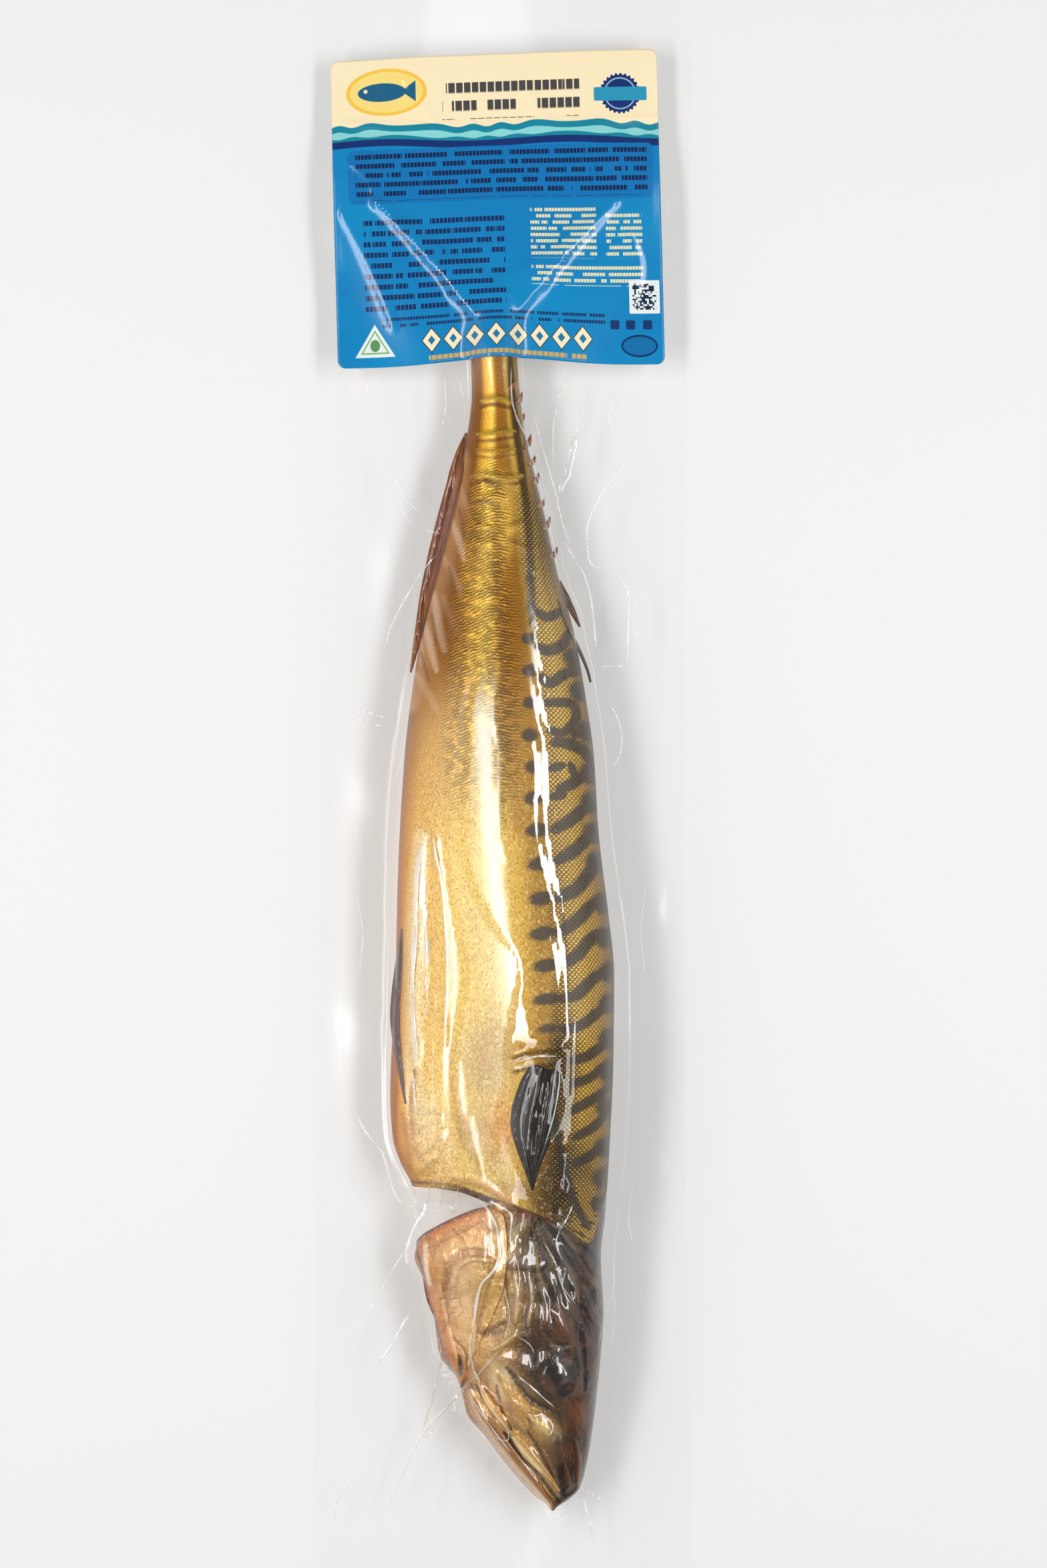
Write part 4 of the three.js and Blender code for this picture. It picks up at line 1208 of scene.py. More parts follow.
film_left = curve_through([
    (243, -22), (200, -30), (182, -40), (172, -40), (156, -30), (129, -18), (112, -14),
    (104, -15.4),
    (92, -18), (81, -20.6), (69, -24), (57, -26.4), (43, -28.2), (34, -29.6), (20, -30.2),
    (9, -30.8), (-28, -33), (-58, -34.2), (-70, -34.6), (-95, -35.6), (-108, -35), (-123, -29.5),
    (-138, -28), (-144, -28), (-156, -23), (-174, -20.6), (-186, -13.6), (-199, -7), (-211, 3),
    (-224, 10), (-243, 8),
])
film_right = curve_through([
    (243, 20), (200, 28), (182, 38), (172, 38), (156, 30), (129, 13), (116, 10.4), (104, 13.6),
    (91.6, 17), (75.5, 20.4), (64.7, 24.4), (50.4, 29), (31.5, 31.4), (3.8, 33), (-40, 36.4),
    (-62, 37.6), (-95, 37.2), (-131, 36), (-162, 34.6), (-186, 32.6), (-205, 29.6), (-217, 27),
    (-243, 24),
])


def film_x(column, y):
    """The x of a film column: even in each margin, and even over the fish."""
    half, left, right = pouch_half_width(y), film_left(y), film_right(y)
    in_left = -half + (left + half) * column / FILM_MARGIN_COLUMNS
    in_fish = left + (right - left) * (column - FILM_MARGIN_COLUMNS) / FILM_FISH_COLUMNS
    in_right = right + (half - right) * (column - FILM_FISH_END) / FILM_MARGIN_COLUMNS
    past_left = np.where(column > FILM_FISH_END, in_right, in_fish)
    return np.where(column < FILM_MARGIN_COLUMNS, in_left, past_left)


def film_column(x, y):
    """The column, with its fraction, whose x that is: film_x turned round."""
    half, left, right = pouch_half_width(y), film_left(y), film_right(y)
    in_left = FILM_MARGIN_COLUMNS * (x + half) / (left + half)
    in_fish = FILM_MARGIN_COLUMNS + FILM_FISH_COLUMNS * (x - left) / (right - left)
    in_right = FILM_FISH_END + FILM_MARGIN_COLUMNS * (x - right) / (half - right)
    return np.where(x < left, in_left, np.where(x > right, in_right, in_fish))


film_columns = FILM_FISH_END + FILM_MARGIN_COLUMNS + 1
film_row_y = np.linspace(POUCH_LENGTH / 2, -POUCH_LENGTH / 2, FILM_ROWS)
film_y = np.repeat(film_row_y[:, None], film_columns, 1)
film_xs = film_x(np.arange(film_columns)[None, :], film_y)


def seam_z(x, y):
    """The height where the two films meet: level beside the fish, sagging towards the edges."""
    outside = np.maximum(np.maximum(film_left(y) - x, x - film_right(y)), 0)
    away = smooth_step(0, 24, outside)
    wave = np.sin(2 * math.pi * y / 74 + x / 40)
    small = 0.3 * np.sin(y / 5.7 + 1.3 * np.sin(y / 31)) + 0.1 * np.sin(y / 2.9 + x / 7)
    return seam_height(y) + away * (0.7 * wave + 0.5 * small - 2.6)


def film_row(y):
    """The row, with its fraction, whose y that is."""
    return (POUCH_LENGTH / 2 - y) / POUCH_LENGTH * (FILM_ROWS - 1)


# What lies inside sets, for each point of the grid, the height that the film can't pass.
margin = seam_z(film_xs, film_y)
high = np.full(film_y.shape, -1e3)
low = np.full(film_y.shape, 1e3)
inside = np.concatenate(contents)
row = np.clip(np.round(film_row(inside[:, 1])).astype(int), 0, FILM_ROWS - 1)
column = np.round(film_column(inside[:, 0], inside[:, 1])).astype(int)
column = np.clip(column, 0, film_columns - 1)
np.maximum.at(high, (row, column), inside[:, 2])
np.minimum.at(low, (row, column), inside[:, 2])
to_edge = np.minimum(
    pouch_half_width(film_y) - np.abs(film_xs), POUCH_LENGTH / 2 - np.abs(film_y)
)
gap = 0.02 + 0.08 * smooth_step(0, 9, to_edge)
ceiling = np.maximum(high + FILM_GAP, margin + gap)
ground = np.maximum(np.minimum(low - FILM_GAP, margin - gap), FILM_LOWEST_Z)


def drawn_tight(bound, keep, pull):
    """A film pulled against a bound: each point moves to the mean of its four neighbours less the
    pull, and never passes the bound. The border stays."""
    sheet = bound.copy()
    for _ in range(FILM_PASSES):
        mean = (sheet[:-2, 1:-1] + sheet[2:, 1:-1] + sheet[1:-1, :-2] + sheet[1:-1, 2:]) / 4
        sheet[1:-1, 1:-1] = keep(bound[1:-1, 1:-1], mean - pull)
    return sheet


film_top = drawn_tight(ceiling, np.maximum, FILM_PULL)
film_bottom = np.maximum(drawn_tight(ground, np.minimum, -FILM_PULL), FILM_LOWEST_Z)


def on_film(x, y):
    """The film's upper height at a place, read between the four nearest points of its grid."""
    r = np.clip(film_row(y), 0, FILM_ROWS - 1.001)
    c = np.clip(film_column(x, y), 0, film_columns - 1.001)
    j, i = r.astype(int), c.astype(int)
    u, v = c - i, r - j
    near = film_top[j, i] * (1 - u) + film_top[j, i + 1] * u
    far = film_top[j + 1, i] * (1 - u) + film_top[j + 1, i + 1] * u
    return near * (1 - v) + far * v


def grazing_light(tree):
    """How much a clear film mirrors: near nothing where it faces the eye, all where it is seen
    edge on, by the fifth power of its slant."""
    facing = shader_node(tree, "ShaderNodeLayerWeight", {"Blend": 0.5}, output=1)
    return worked_out("POWER", facing, 5.0) * 0.9


film_finish, tree, output = new_finish("film")
place = shader_node(tree, "ShaderNodeTexCoord", output="Object")
ripple = noise(tree, stretched(tree, place, (1, 0.4, 1)), 110, 2, 0.5, 0.4)
rippled = raised(tree, ripple, 0.06, 0.0008)
clear = shader_node(tree, "ShaderNodeBsdfTransparent", {"Color": (0.986, 0.986, 0.984, 1)})
roughness = attribute(tree, "crinkled") * 0.3 + attribute(tree, "soft_gloss") * 0.13 + 0.05
full_gloss = {"Color": (1, 1, 1, 1), "Roughness": roughness, "Normal": rippled}
gloss = shader_node(tree, "ShaderNodeBsdfAnisotropic", full_gloss)
edge_on = shader_node(tree, "ShaderNodeMixShader", {0: grazing_light(tree), 1: clear, 2: gloss})
# The gloss that a film has face on, stronger where it lies tight on the flank.
face_gloss = {"Color": attribute(tree, "sheen"), "Roughness": roughness, "Normal": rippled}
sheen = shader_node(tree, "ShaderNodeBsdfAnisotropic", face_gloss)
both = shader_node(tree, "ShaderNodeAddShader", {0: edge_on, 1: sheen})
tree.links.new(both.socket, output.inputs[0])
crinkled = smooth_step(14, 40, film_y) * smooth_step(128, 112, film_y)
crinkled = crinkled * smooth_step(4, 0, film_left(film_y) - film_xs) * smooth_step(12, 6, film_xs)
off_fish = np.maximum(film_left(film_y) - film_xs, film_xs - film_right(film_y))
over_back = smooth_step(-16, -8, film_xs - film_right(film_y))
behind_fin = smooth_step(-72, -80, film_y) * smooth_step(-140, -126, film_y)
behind_fin = behind_fin * smooth_step(2, 5, film_xs)
soft_gloss = smooth_step(5, 1, film_xs) * smooth_step(-150, -132, film_y) * (1 - crinkled)
over_head = smooth_step(-128, -138, film_y)
SHEEN_ON_FLANK = 0.1
SHEEN_DROP_OFF_FLANK = 0.078
sheen_level = SHEEN_ON_FLANK - SHEEN_DROP_OFF_FLANK * np.maximum(
    smooth_step(-1, 2, off_fish), over_back
)
sheen_level = sheen_level * (1 - 0.88 * crinkled) * (1 - 0.7 * behind_fin)
sheen_level = sheen_level * (1 - 0.35 * over_head)
FILM_SHARP_ANGLE = math.radians(65)
film = solid_piece(
    "film_pouch",
    two_sides(
        np.stack([film_xs, film_y, film_top], -1), np.stack([film_xs, film_y, film_bottom], -1)
    ),
    film_finish,
    in_pouch=False,
    attributes=on_both_sides(crinkled=crinkled, sheen=sheen_level, soft_gloss=soft_gloss),
)
film.data.set_sharp_from_angle(angle=FILM_SHARP_ANGLE)
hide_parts("pouch")

# ---------------------------------------------------------------------------------------------
# Film pleats. Where the film had too much room it is folded on itself in narrow raised lines,
# tinted by the fish's juice. Their white is partly a stress-whitened crease and partly a painted
# highlight, a glint laid on as colour.
# ---------------------------------------------------------------------------------------------
PLEAT_ALONG = 40
PLEAT_AROUND = 7
PLEAT_STATIONS = 11
crease_finish, tree, output = new_finish("creased_film")
clear = shader_node(tree, "ShaderNodeBsdfTransparent", {"Color": (1, 1, 1, 1)})
whitened_and_glinting = shader_node(tree, "ShaderNodeBsdfPrincipled", {
    "Base Color": attribute(tree, "paint", "Color"), "Roughness": 0.12, "Specular IOR Level": 0.8,
})
frost_and_glint_amount = attribute(tree, "frost_and_glint")
frost_and_glint = shader_node(tree, "ShaderNodeMixShader", {0: frost_and_glint_amount, 1: clear, 2: whitened_and_glinting})
gloss = shader_node(tree, "ShaderNodeBsdfAnisotropic", {"Color": (1, 1, 1, 1), "Roughness": 0.05})
shine = grazing_light(tree) + 0.1
both = shader_node(tree, "ShaderNodeMixShader", {0: shine, 1: frost_and_glint, 2: gloss})
tree.links.new(both.socket, output.inputs[0])
pleat_rings, pleat_frost_and_glint, pleat_paint = [], [], []
across_fade = np.array([[0, 0.5, 1, 1, 1, 0.5, 0] + [0] * PLEAT_AROUND])
clear_film, juice = pigment(255, 254, 250), pigment(214, 184, 104)
# Each pleat's white amount is its frost, and on some it is also a painted glint.
for points, width, height, frost_and_glint_amount, warm in [
    ([(-19.7, 70), (-24.7, 64.1), (-30, 55.5), (-33.9, 47.8), (-35.7, 41)], 0.9, 0.6, 0.5, 0),
    ([(-33.9, 98.7), (-30.9, 90.5), (-26.8, 84.4), (-20.7, 81.2)], 0.8, 0.6, 0.45, 0),
    ([(-32.9, 95.6), (-30.9, 86.5), (-27.2, 79.3), (-18.6, 76)], 0.8, 0.6, 0.45, 0),
    ([(-30, 8.7), (-31.1, 5), (-32.1, 1.5)], 0.8, 0.5, 0.5, 0),
    ([(-44.9, -99.3), (-42.1, -105), (-39, -109.1), (-36.6, -111.9), (-34.5, -118.2),
      (-33.1, -123.7), (-30.9, -127.4), (-27.4, -128.6)], 1, 0.8, 0.7, 0),
    ([(-27.4, -139.2), (-32.9, -147.8), (-39, -158), (-45.3, -168.4)], 0.9, 0.6, 0.6, 0.1),
    ([(-28.2, -161.6), (-30.9, -166.5), (-33.9, -171.8), (-37.6, -177.1)], 2.2, 0.7, 0.5, 0),
    ([(-13.1, -186.1), (-17.6, -191), (-21.7, -195), (-25, -199.5), (-28.4, -206.9), (-31.9, -215),
      (-35.5, -222.9)], 0.9, 0.7, 0.6, 0.1),
    ([(-11.3, -191.8), (-10.9, -200.7), (-9.9, -209.3), (-12.5, -217), (-16.2, -224)], 0.8, 0.6,
     0.6, 0),
    ([(24.7, -218.1), (26.6, -225.2), (27.8, -232.7)], 1.1, 0.7, 0.7, 0),
    ([(21.9, -221.1), (19, -225.2), (15, -229.9)], 0.8, 0.6, 0.6, 0),
    ([(23.7, -215.4), (27.2, -217), (30.7, -219.5)], 1.4, 0.6, 0.6, 0.2),
    ([(18.8, 74.2), (21.7, 69.2), (25, 63.9), (27.4, 54.9), (28.6, 41)], 1, 0.6, 0.7, 0),
    ([(39.8, 100), (31.3, 90), (26.4, 80), (26.2, 71.2), (27.2, 66.9), (29.6, 65.9), (32.3, 65.9),
      (36, 62.8), (38.6, 58.6), (38.6, 49.8), (38, 35.7)], 1.1, 0.7, 0.7, 0),
    ([(31.3, 26.4), (34.7, 21.3), (36.4, 15.2), (36, 9.1), (32.7, 3.6)], 0.8, 0.6, 0.55, 0.15),
    ([(30, 35.7), (34.3, 36), (38, 35.7)], 0.9, 0.5, 0.7, 0),
    ([(-17.6, 125.2), (-17, 117), (-18.2, 108.9)], 1.1, 0.7, 0.4, 0.3),
    ([(-13.3, 124), (-11, 114.6), (-12, 107.7)], 0.8, 0.6, 0.5, 0.3),
    ([(20.1, 125.2), (16.6, 115), (15.6, 106.8), (15.6, 96.7)], 1, 0.7, 0.5, 0.4),
    ([(30.2, 125.2), (26.2, 117), (22.5, 106.8), (19.4, 98)], 0.9, 0.6, 0.6, 0.2),
    ([(2.8, 127), (3, 118), (5, 110), (8.6, 104)], 1, 0.7, 0.6, 0),
    ([(6, 110), (9.6, 98), (13, 86), (15.6, 74), (17.6, 62)], 0.7, 0.5, 0.5, 0),
    ([(9, 116), (12, 104), (15.4, 92), (18.4, 80), (21.6, 70)], 0.8, 0.6, 0.5, 0),
    ([(-7.4, -124.8), (-4.8, -127.4), (-1.9, -131.9), (-0.9, -136.6), (-0.7, -141.7),
      (-2.7, -146.8), (-6, -150.8), (-7.6, -157), (-8.9, -166.1)], 1.6, 0.7, 0.8, 0.3),
    ([(-9, -166), (-9.6, -171), (-8.6, -177), (-6.4, -182)], 1.1, 0.6, 0.7, 0.2),
    ([(21.5, -126), (20.1, -129.5), (17.6, -133.9)], 0.8, 0.5, 0.6, 0),
    ([(-20.7, -14.4), (-19.6, -22), (-18.2, -28), (-17, -41.9), (-16.2, -56.1), (-16.8, -70),
      (-17, -78.5)], 1.5, 0.5, 0.9, 0.1),
    ([(-21.2, -14.4), (-24.4, -21), (-25.6, -31), (-26.4, -45.9), (-26.8, -66.3), (-26, -86.7)],
     2.4, 0.5, 0.85, 0.1),
    ([(-23.4, -36), (-23, -46), (-22.6, -56)], 2.6, 0.4, 0.5, 0.1),
    ([(-22.6, -58), (-22.4, -64), (-22.6, -70)], 1.4, 0.4, 0.4, 0.2),
    ([(4.8, -178.3), (9.9, -182.4), (16, -188.1)], 0.8, 0.5, 0.9, 0),
    # A painted highlight: the glint on the film over the eye.
    ([(16.4, -174.3), (18.4, -175.5), (19.7, -178.3)], 0.9, 0.5, 0.9, 0),
    ([(0.9, -169), (-6.4, -178), (-12.1, -184.5), (-24.3, -199.1)], 1.5, 0.7, 0.4, 0.8),
    ([(-18.6, -171.4), (-19.5, -180.4), (-24.3, -198.3)], 1.4, 0.7, 0.4, 0.8),
    ([(-17.6, -176.4), (-16.6, -180.6), (-14.2, -184)], 3.4, 0.7, 0.6, 0.1),
    ([(-24.3, -198.8), (-22.6, -199.6), (-20.4, -197)], 1.4, 0.7, 0.7, 0.5),
    # A painted highlight: a broad patch of glare on the film beside the tail root.
    ([(22.8, 107), (21, 98), (17.8, 88.6)], 3.2, 0.5, 0.35, 0),
    ([(-46, 24), (-41, 22), (-35, 20)], 1.2, 0.4, 0.4, 0),
    ([(-46, 20.6), (-41, 19), (-35, 17)], 1, 0.4, 0.35, 0),
    ([(-26.8, -122.4), (-26.4, -130), (-24.6, -136.6)], 1.4, 0.6, 0.35, 0.7),
    ([(-22, -121.4), (-22.6, -127), (-24.6, -133)], 0.9, 0.5, 0.35, 0.7),
    ([(-17.6, -121), (-18.6, -127), (-21.4, -134)], 0.9, 0.5, 0.35, 0.8),
    ([(-13, -122), (-13.6, -126), (-15, -130.6)], 0.8, 0.5, 0.3, 0.8),
    ([(-27.6, -128.6), (-22, -130.6), (-14, -129.4)], 0.8, 0.5, 0.4, 0.6),
    ([(12.6, -137), (16.2, -144), (18.4, -151), (22.6, -157)], 0.6, 0.5, 0.75, 0),
    ([(17.6, -133.6), (16.4, -138), (18.4, -143.4)], 0.6, 0.5, 0.75, 0),
    ([(19.4, -146), (18.2, -151), (20.6, -156.4)], 0.7, 0.5, 0.8, 0),
    ([(14.4, -157.6), (17, -159.4), (18.6, -163)], 0.9, 0.5, 0.85, 0),
    ([(3.6, -140), (5.4, -148), (4.4, -157)], 0.6, 0.4, 0.6, 0.4),
    ([(0.6, -151), (2.4, -160), (1, -167)], 0.6, 0.4, 0.6, 0.5),
    ([(5.4, -166.6), (8.4, -168.6), (10, -171.6)], 0.6, 0.4, 0.8, 0.2),
    ([(-10.4, -184.6), (-6, -191), (-1.4, -197.4), (3, -203)], 0.7, 0.4, 0.8, 0.2),
    ([(-3, -190), (1.4, -195), (1.8, -199), (-2.4, -198)], 0.7, 0.4, 0.7, 0.3),
    ([(12.4, -190), (15.4, -193.6), (14.4, -197)], 0.7, 0.4, 0.8, 0.2),
    ([(29.6, -170), (30.6, -164), (33, -158), (34.4, -150)], 0.5, 0.4, 0.5, 0),
    # A painted highlight: a white bar on the film fold over the pectoral fin's end.
    ([(3, -84), (10, -81.6), (17, -81.4)], 0.9, 0.5, 0.85, 0),
    ([(17.6, -84), (17, -92), (15.4, -100), (13, -108)], 0.6, 0.4, 0.8, 0),
    ([(-27, -88), (-26.4, -96), (-25.6, -100)], 1.4, 0.5, 0.6, 0.2),
    ([(-46.4, -214), (-50, -219), (-51.6, -226)], 0.8, 0.4, 0.35, 0),
    ([(-47, -186), (-50.6, -190)], 1.4, 0.4, 0.4, 0),
    ([(44, 60), (40, 52), (41, 44)], 0.7, 0.4, 0.35, 0),
    ([(-44, 130), (-41, 121), (-42, 112)], 0.8, 0.4, 0.35, 0),
    ([(40, -122), (38.4, -132), (40, -141)], 0.6, 0.4, 0.35, 0),
    ([(44, -30), (42.4, -44), (43.6, -58)], 0.6, 0.4, 0.3, 0),
    ([(-44, -34), (-42.4, -46), (-43.4, -58)], 0.7, 0.4, 0.3, 0),
    ([(35, 120), (33, 112), (36, 104)], 0.7, 0.4, 0.4, 0),
]:
    # A pleat is uneven in both widths and in height, and runs out at its ends.
    uneven = np.random.default_rng(len(pleat_rings)).uniform(0.3, 1, (3, PLEAT_STATIONS))
    uneven[:, [0, -1]] = 0.1
    left, right = uneven[:2] * width / 2
    rings = blade(
        points, left, right, 0.02 + height * uneven[2],
        base=on_film, along=PLEAT_ALONG, around=PLEAT_AROUND, sink=0.05,
    )
    pleat_rings.append(rings)
    stations = np.linspace(0, 1, PLEAT_STATIONS)
    fade = np.interp(np.linspace(0, 1, PLEAT_ALONG), stations, uneven[2])[:, None]
    pleat_frost_and_glint.append((frost_and_glint_amount * fade * across_fade).ravel())
    shade = clear_film + (juice - clear_film) * warm
    pleat_paint.append(np.ones((PLEAT_ALONG * 2 * PLEAT_AROUND, 3)) * shade)
solid_piece(
    "film_pleats", pleat_rings, crease_finish, in_pouch=False,
    attributes={"frost_and_glint": np.concatenate(pleat_frost_and_glint), "paint": np.concatenate(pleat_paint)},
)

# ---------------------------------------------------------------------------------------------
# Label. A glossy printed sheet stuck on the film over the tail: a cream head with a badge over
# wavy stripes and a blue field with plain panels.
# ---------------------------------------------------------------------------------------------
LABEL_WIDTH = 100
LABEL_LEFT_HEIGHT = 94.5
LABEL_RIGHT_HEIGHT = 97
LABEL_CENTRE = (-1.4, 175.5)
LABEL_TURN = math.radians(1.5)
LABEL_CORNER_RADIUS = 2.5
LABEL_EDGE_LIFT = 2.4
LABEL_EDGE_LIFT_SPAN = 22
LABEL_THICKNESS = 0.18
LABEL_GLUE = 0.12
LABEL_SMOOTHING_PASSES = 6
PRINT_WIDTH = 100
PRINT_HEIGHT = 96


def edged_shares(count, edge):
    """Shares from 0 to 1 with short steps near each end, for round corners."""
    start, end = np.linspace(0, edge, 5)[:-1], np.linspace(1 - edge, 1, 5)[1:]
    return np.concatenate([start, np.linspace(edge, 1 - edge, count), end])


label_u = edged_shares(96, LABEL_CORNER_RADIUS / LABEL_WIDTH)[None, :]
label_v = edged_shares(92, LABEL_CORNER_RADIUS / LABEL_RIGHT_HEIGHT)[:, None]
label_height = LABEL_LEFT_HEIGHT + (LABEL_RIGHT_HEIGHT - LABEL_LEFT_HEIGHT) * label_u
label_across = LABEL_WIDTH * (label_u - 0.5) + 0 * label_v
label_down = label_height * (label_v - 0.5)
over_x = np.abs(label_across) - (LABEL_WIDTH / 2 - LABEL_CORNER_RADIUS)
over_y = np.abs(label_down) - (label_height / 2 - LABEL_CORNER_RADIUS)
# A corner's points are drawn in from the square round it to its quarter circle.
at_corner = (over_x > 0) & (over_y > 0)
from_centre = np.maximum(np.hypot(over_x, over_y), 1e-6)
pull_in = np.where(at_corner, 1 - np.maximum(over_x, over_y) / from_centre, 0)
label_across = label_across - np.sign(label_across) * over_x * pull_in
label_down = label_down - np.sign(label_down) * over_y * pull_in
turn_cos, turn_sin = math.cos(LABEL_TURN), math.sin(LABEL_TURN)
label_x = LABEL_CENTRE[0] + label_across * turn_cos + label_down * turn_sin
label_y = LABEL_CENTRE[1] + label_across * turn_sin - label_down * turn_cos
edge_bend = np.exp(-((label_x / LABEL_EDGE_LIFT_SPAN) ** 2)) * label_v**2
label_y = label_y + LABEL_EDGE_LIFT * edge_bend
label_z = on_film(label_x, label_y)
for _ in range(LABEL_SMOOTHING_PASSES):
    beside = label_z[:-2, 1:-1] + label_z[2:, 1:-1] + label_z[1:-1, :-2] + label_z[1:-1, 2:]
    label_z[1:-1, 1:-1] = np.maximum(label_z[1:-1, 1:-1], beside / 4)
for points, width, height in [
    ([(-48.8, 174.5), (-42, 162), (-36, 148), (-33, 139.4)], 3, 0.35),
    ([(5.8, 184.8), (11, 184), (17, 182.2)], 2.4, 0.4),
    ([(31.5, 197.5), (33.4, 190), (34.3, 182.8)], 2.6, 0.4),
    ([(5.8, 216.8), (10, 208), (16, 198.5)], 3, 0.5),
    ([(-50, 202), (-20, 200.5), (14, 202), (47, 204)], 2.6, 0.3),
    ([(-12, 128), (-10, 136), (-16, 150)], 3.4, 0.2), ([(8, 128), (8, 138), (14, 154)], 3.4, 0.2),
    ([(-46, 190), (-40, 184), (-38, 176)], 2, 0.4), ([(38, 170), (42, 158), (40, 146)], 2.4, 0.4),
    ([(-30, 216), (-24, 208), (-22, 202)], 2, 0.4), ([(26, 176), (20, 168), (18, 160)], 2, 0.4),
]:
    label_z = label_z + height * stroke(label_x, label_y, points, width, soft=0.9)
label_bottom = label_z + LABEL_GLUE
label_top = label_bottom + LABEL_THICKNESS
label_uv = np.stack([label_u * PRINT_WIDTH + 0 * label_v, label_v * PRINT_HEIGHT + 0 * label_u], -1)

label_print, tree, output = new_finish("label_print")
print_map, right_mm, down_mm = surface_map(tree)


def rectangle(left, top, right, bottom, radius=0.0, edge=0.1):
    """1 inside a rectangle with round corners, from the distance to its inner frame."""
    half_w, half_h = (right - left) / 2, (bottom - top) / 2
    from_middle_x = worked_out("ABSOLUTE", right_mm - (left + half_w))
    from_middle_y = worked_out("ABSOLUTE", down_mm - (top + half_h))
    dx = worked_out("MAXIMUM", from_middle_x - (half_w - radius), 0.0)
    dy = worked_out("MAXIMUM", from_middle_y - (half_h - radius), 0.0)
    distance = worked_out("SQRT", dx * dx + dy * dy)
    return ramp(distance, radius + edge, radius - edge) if radius else ramp(distance, edge, 0.0)


def oval(across_mm, top_mm, half_width, half_height, soft=0.12):
    """1 inside an ellipse: its two scaled distances, squared and added, stay below one."""
    dx, dy = (right_mm - across_mm) / half_width, (down_mm - top_mm) / half_height
    return ramp(dx * dx + dy * dy, 1 + soft / half_height, 1 - soft / half_height)


def blocks_of_dashes(left, top, right, bottom, pitch, thick, letter):
    """Rows of short dashes inside a rectangle, broken at random as words and letters are."""
    rows = (down_mm - top) / pitch
    line = ramp(worked_out("FRACT", rows), thick / pitch + 0.06, thick / pitch - 0.06)
    row = worked_out("FLOOR", rows)
    place = shader_node(
        tree, "ShaderNodeCombineXYZ", {0: right_mm * (0.16 / letter), 1: row * 7.31, 2: left + 0.0}
    )
    words = ramp(noise(tree, place, 2.0, 1), 0.4, 0.42)
    letters = ramp(worked_out("FRACT", (right_mm + row * 0.37) / letter), 0.86, 0.8)
    return rectangle(left, top, right, bottom) * line * words * letters


wave = worked_out("SINE", right_mm * 0.11) * 0.6 + (right_mm * -0.01)
small_wave = worked_out("SINE", right_mm * 0.5 + worked_out("SINE", right_mm * 0.13) * 2.0) * 0.5
depth = down_mm + wave
cream, teal, mint = (254, 236, 194), (8, 134, 158), (140, 214, 214)
navy, blue, fish_blue = (8, 44, 112), (0, 126, 188), (18, 96, 134)
blue_field = ramp(depth, 27.8, 28)
brighter = ramp(noise(tree, stretched(tree, print_map, (0.02, 0.03, 1)), 1.0, 2), 0.35, 0.7)
print_colour = laid_over(solid_colour(*cream), [
    (ramp(depth + small_wave, 20.9, 21.1), teal),
    (ramp(depth + small_wave * 0.8, 22.9, 23.1), mint),
    (ramp(depth - small_wave * 0.6, 24.6, 24.8), teal),
    (ramp(depth, 25.6, 25.8), navy),
    (blue_field, blue),
    (blue_field * brighter * 0.5, (0, 150, 204)),
    (rectangle(4.6, 28.6, 98, 45.5, 2), (0, 116, 182)),
])

# A fish in a golden oval, a row of dashes for a title, and a toothed badge with a bare ribbon.
tail = worked_out("ABSOLUTE", down_mm - 10.6) - (right_mm - 21.6) * 0.75
tail = worked_out("MAXIMUM", worked_out("MAXIMUM", tail, 21.8 - right_mm), right_mm - 26.0)
badge_x, badge_y = right_mm - 88.4, down_mm - 13.4
badge_r = worked_out("SQRT", badge_x * badge_x + badge_y * badge_y)
teeth = worked_out("SINE", worked_out("ARCTAN2", badge_y, badge_x) * 26.0) * 0.32
print_colour = laid_over(print_colour, [
    (oval(17, 10.6, 12.4, 7.4), (250, 200, 74)),
    (oval(17, 10.6, 11.2, 6.4), (252, 224, 128)),
    (oval(15.6, 10.6, 7.4, 2.9), fish_blue),
    (ramp(tail, 0.12, -0.12), fish_blue),
    (oval(10.6, 10, 0.6, 0.6), cream),
    (blocks_of_dashes(34, 8.6, 76, 20, 5.6, 3.2, 2.4), (72, 70, 72)),
    (ramp(badge_r + teeth, 6.1, 5.9), navy),
    (ramp(worked_out("ABSOLUTE", badge_r - 4.7), 0.26, 0.14), (150, 190, 214)),
    (rectangle(80.4, 11.4, 96.6, 15.6, 0.4), (40, 150, 186)),
])
for left, top, right, bottom, pitch, thick, letter, colour in [
    (7, 30, 96, 44.6, 2.9, 1.5, 1.1, (6, 30, 78)), (9, 50.6, 52, 79.4, 3.3, 1.6, 1.2, (10, 40, 92)),
    (60, 48.4, 80, 64, 1.95, 1, 0.9, (236, 226, 178)),
    (83, 50.4, 94, 64, 1.95, 1, 0.9, (236, 226, 178)),
    (60, 66.4, 94, 72.4, 1.95, 1, 0.9, (236, 226, 178)),
    (14, 80.8, 82, 84.6, 2, 1, 0.9, (12, 50, 100)),
    (28, 93.4, 76, 95.2, 1.8, 1.4, 1.7, (206, 170, 90)),
]:
    dashes = blocks_of_dashes(left, top, right, bottom, pitch, thick, letter)
    print_colour = laid_over(print_colour, [(dashes, colour)])

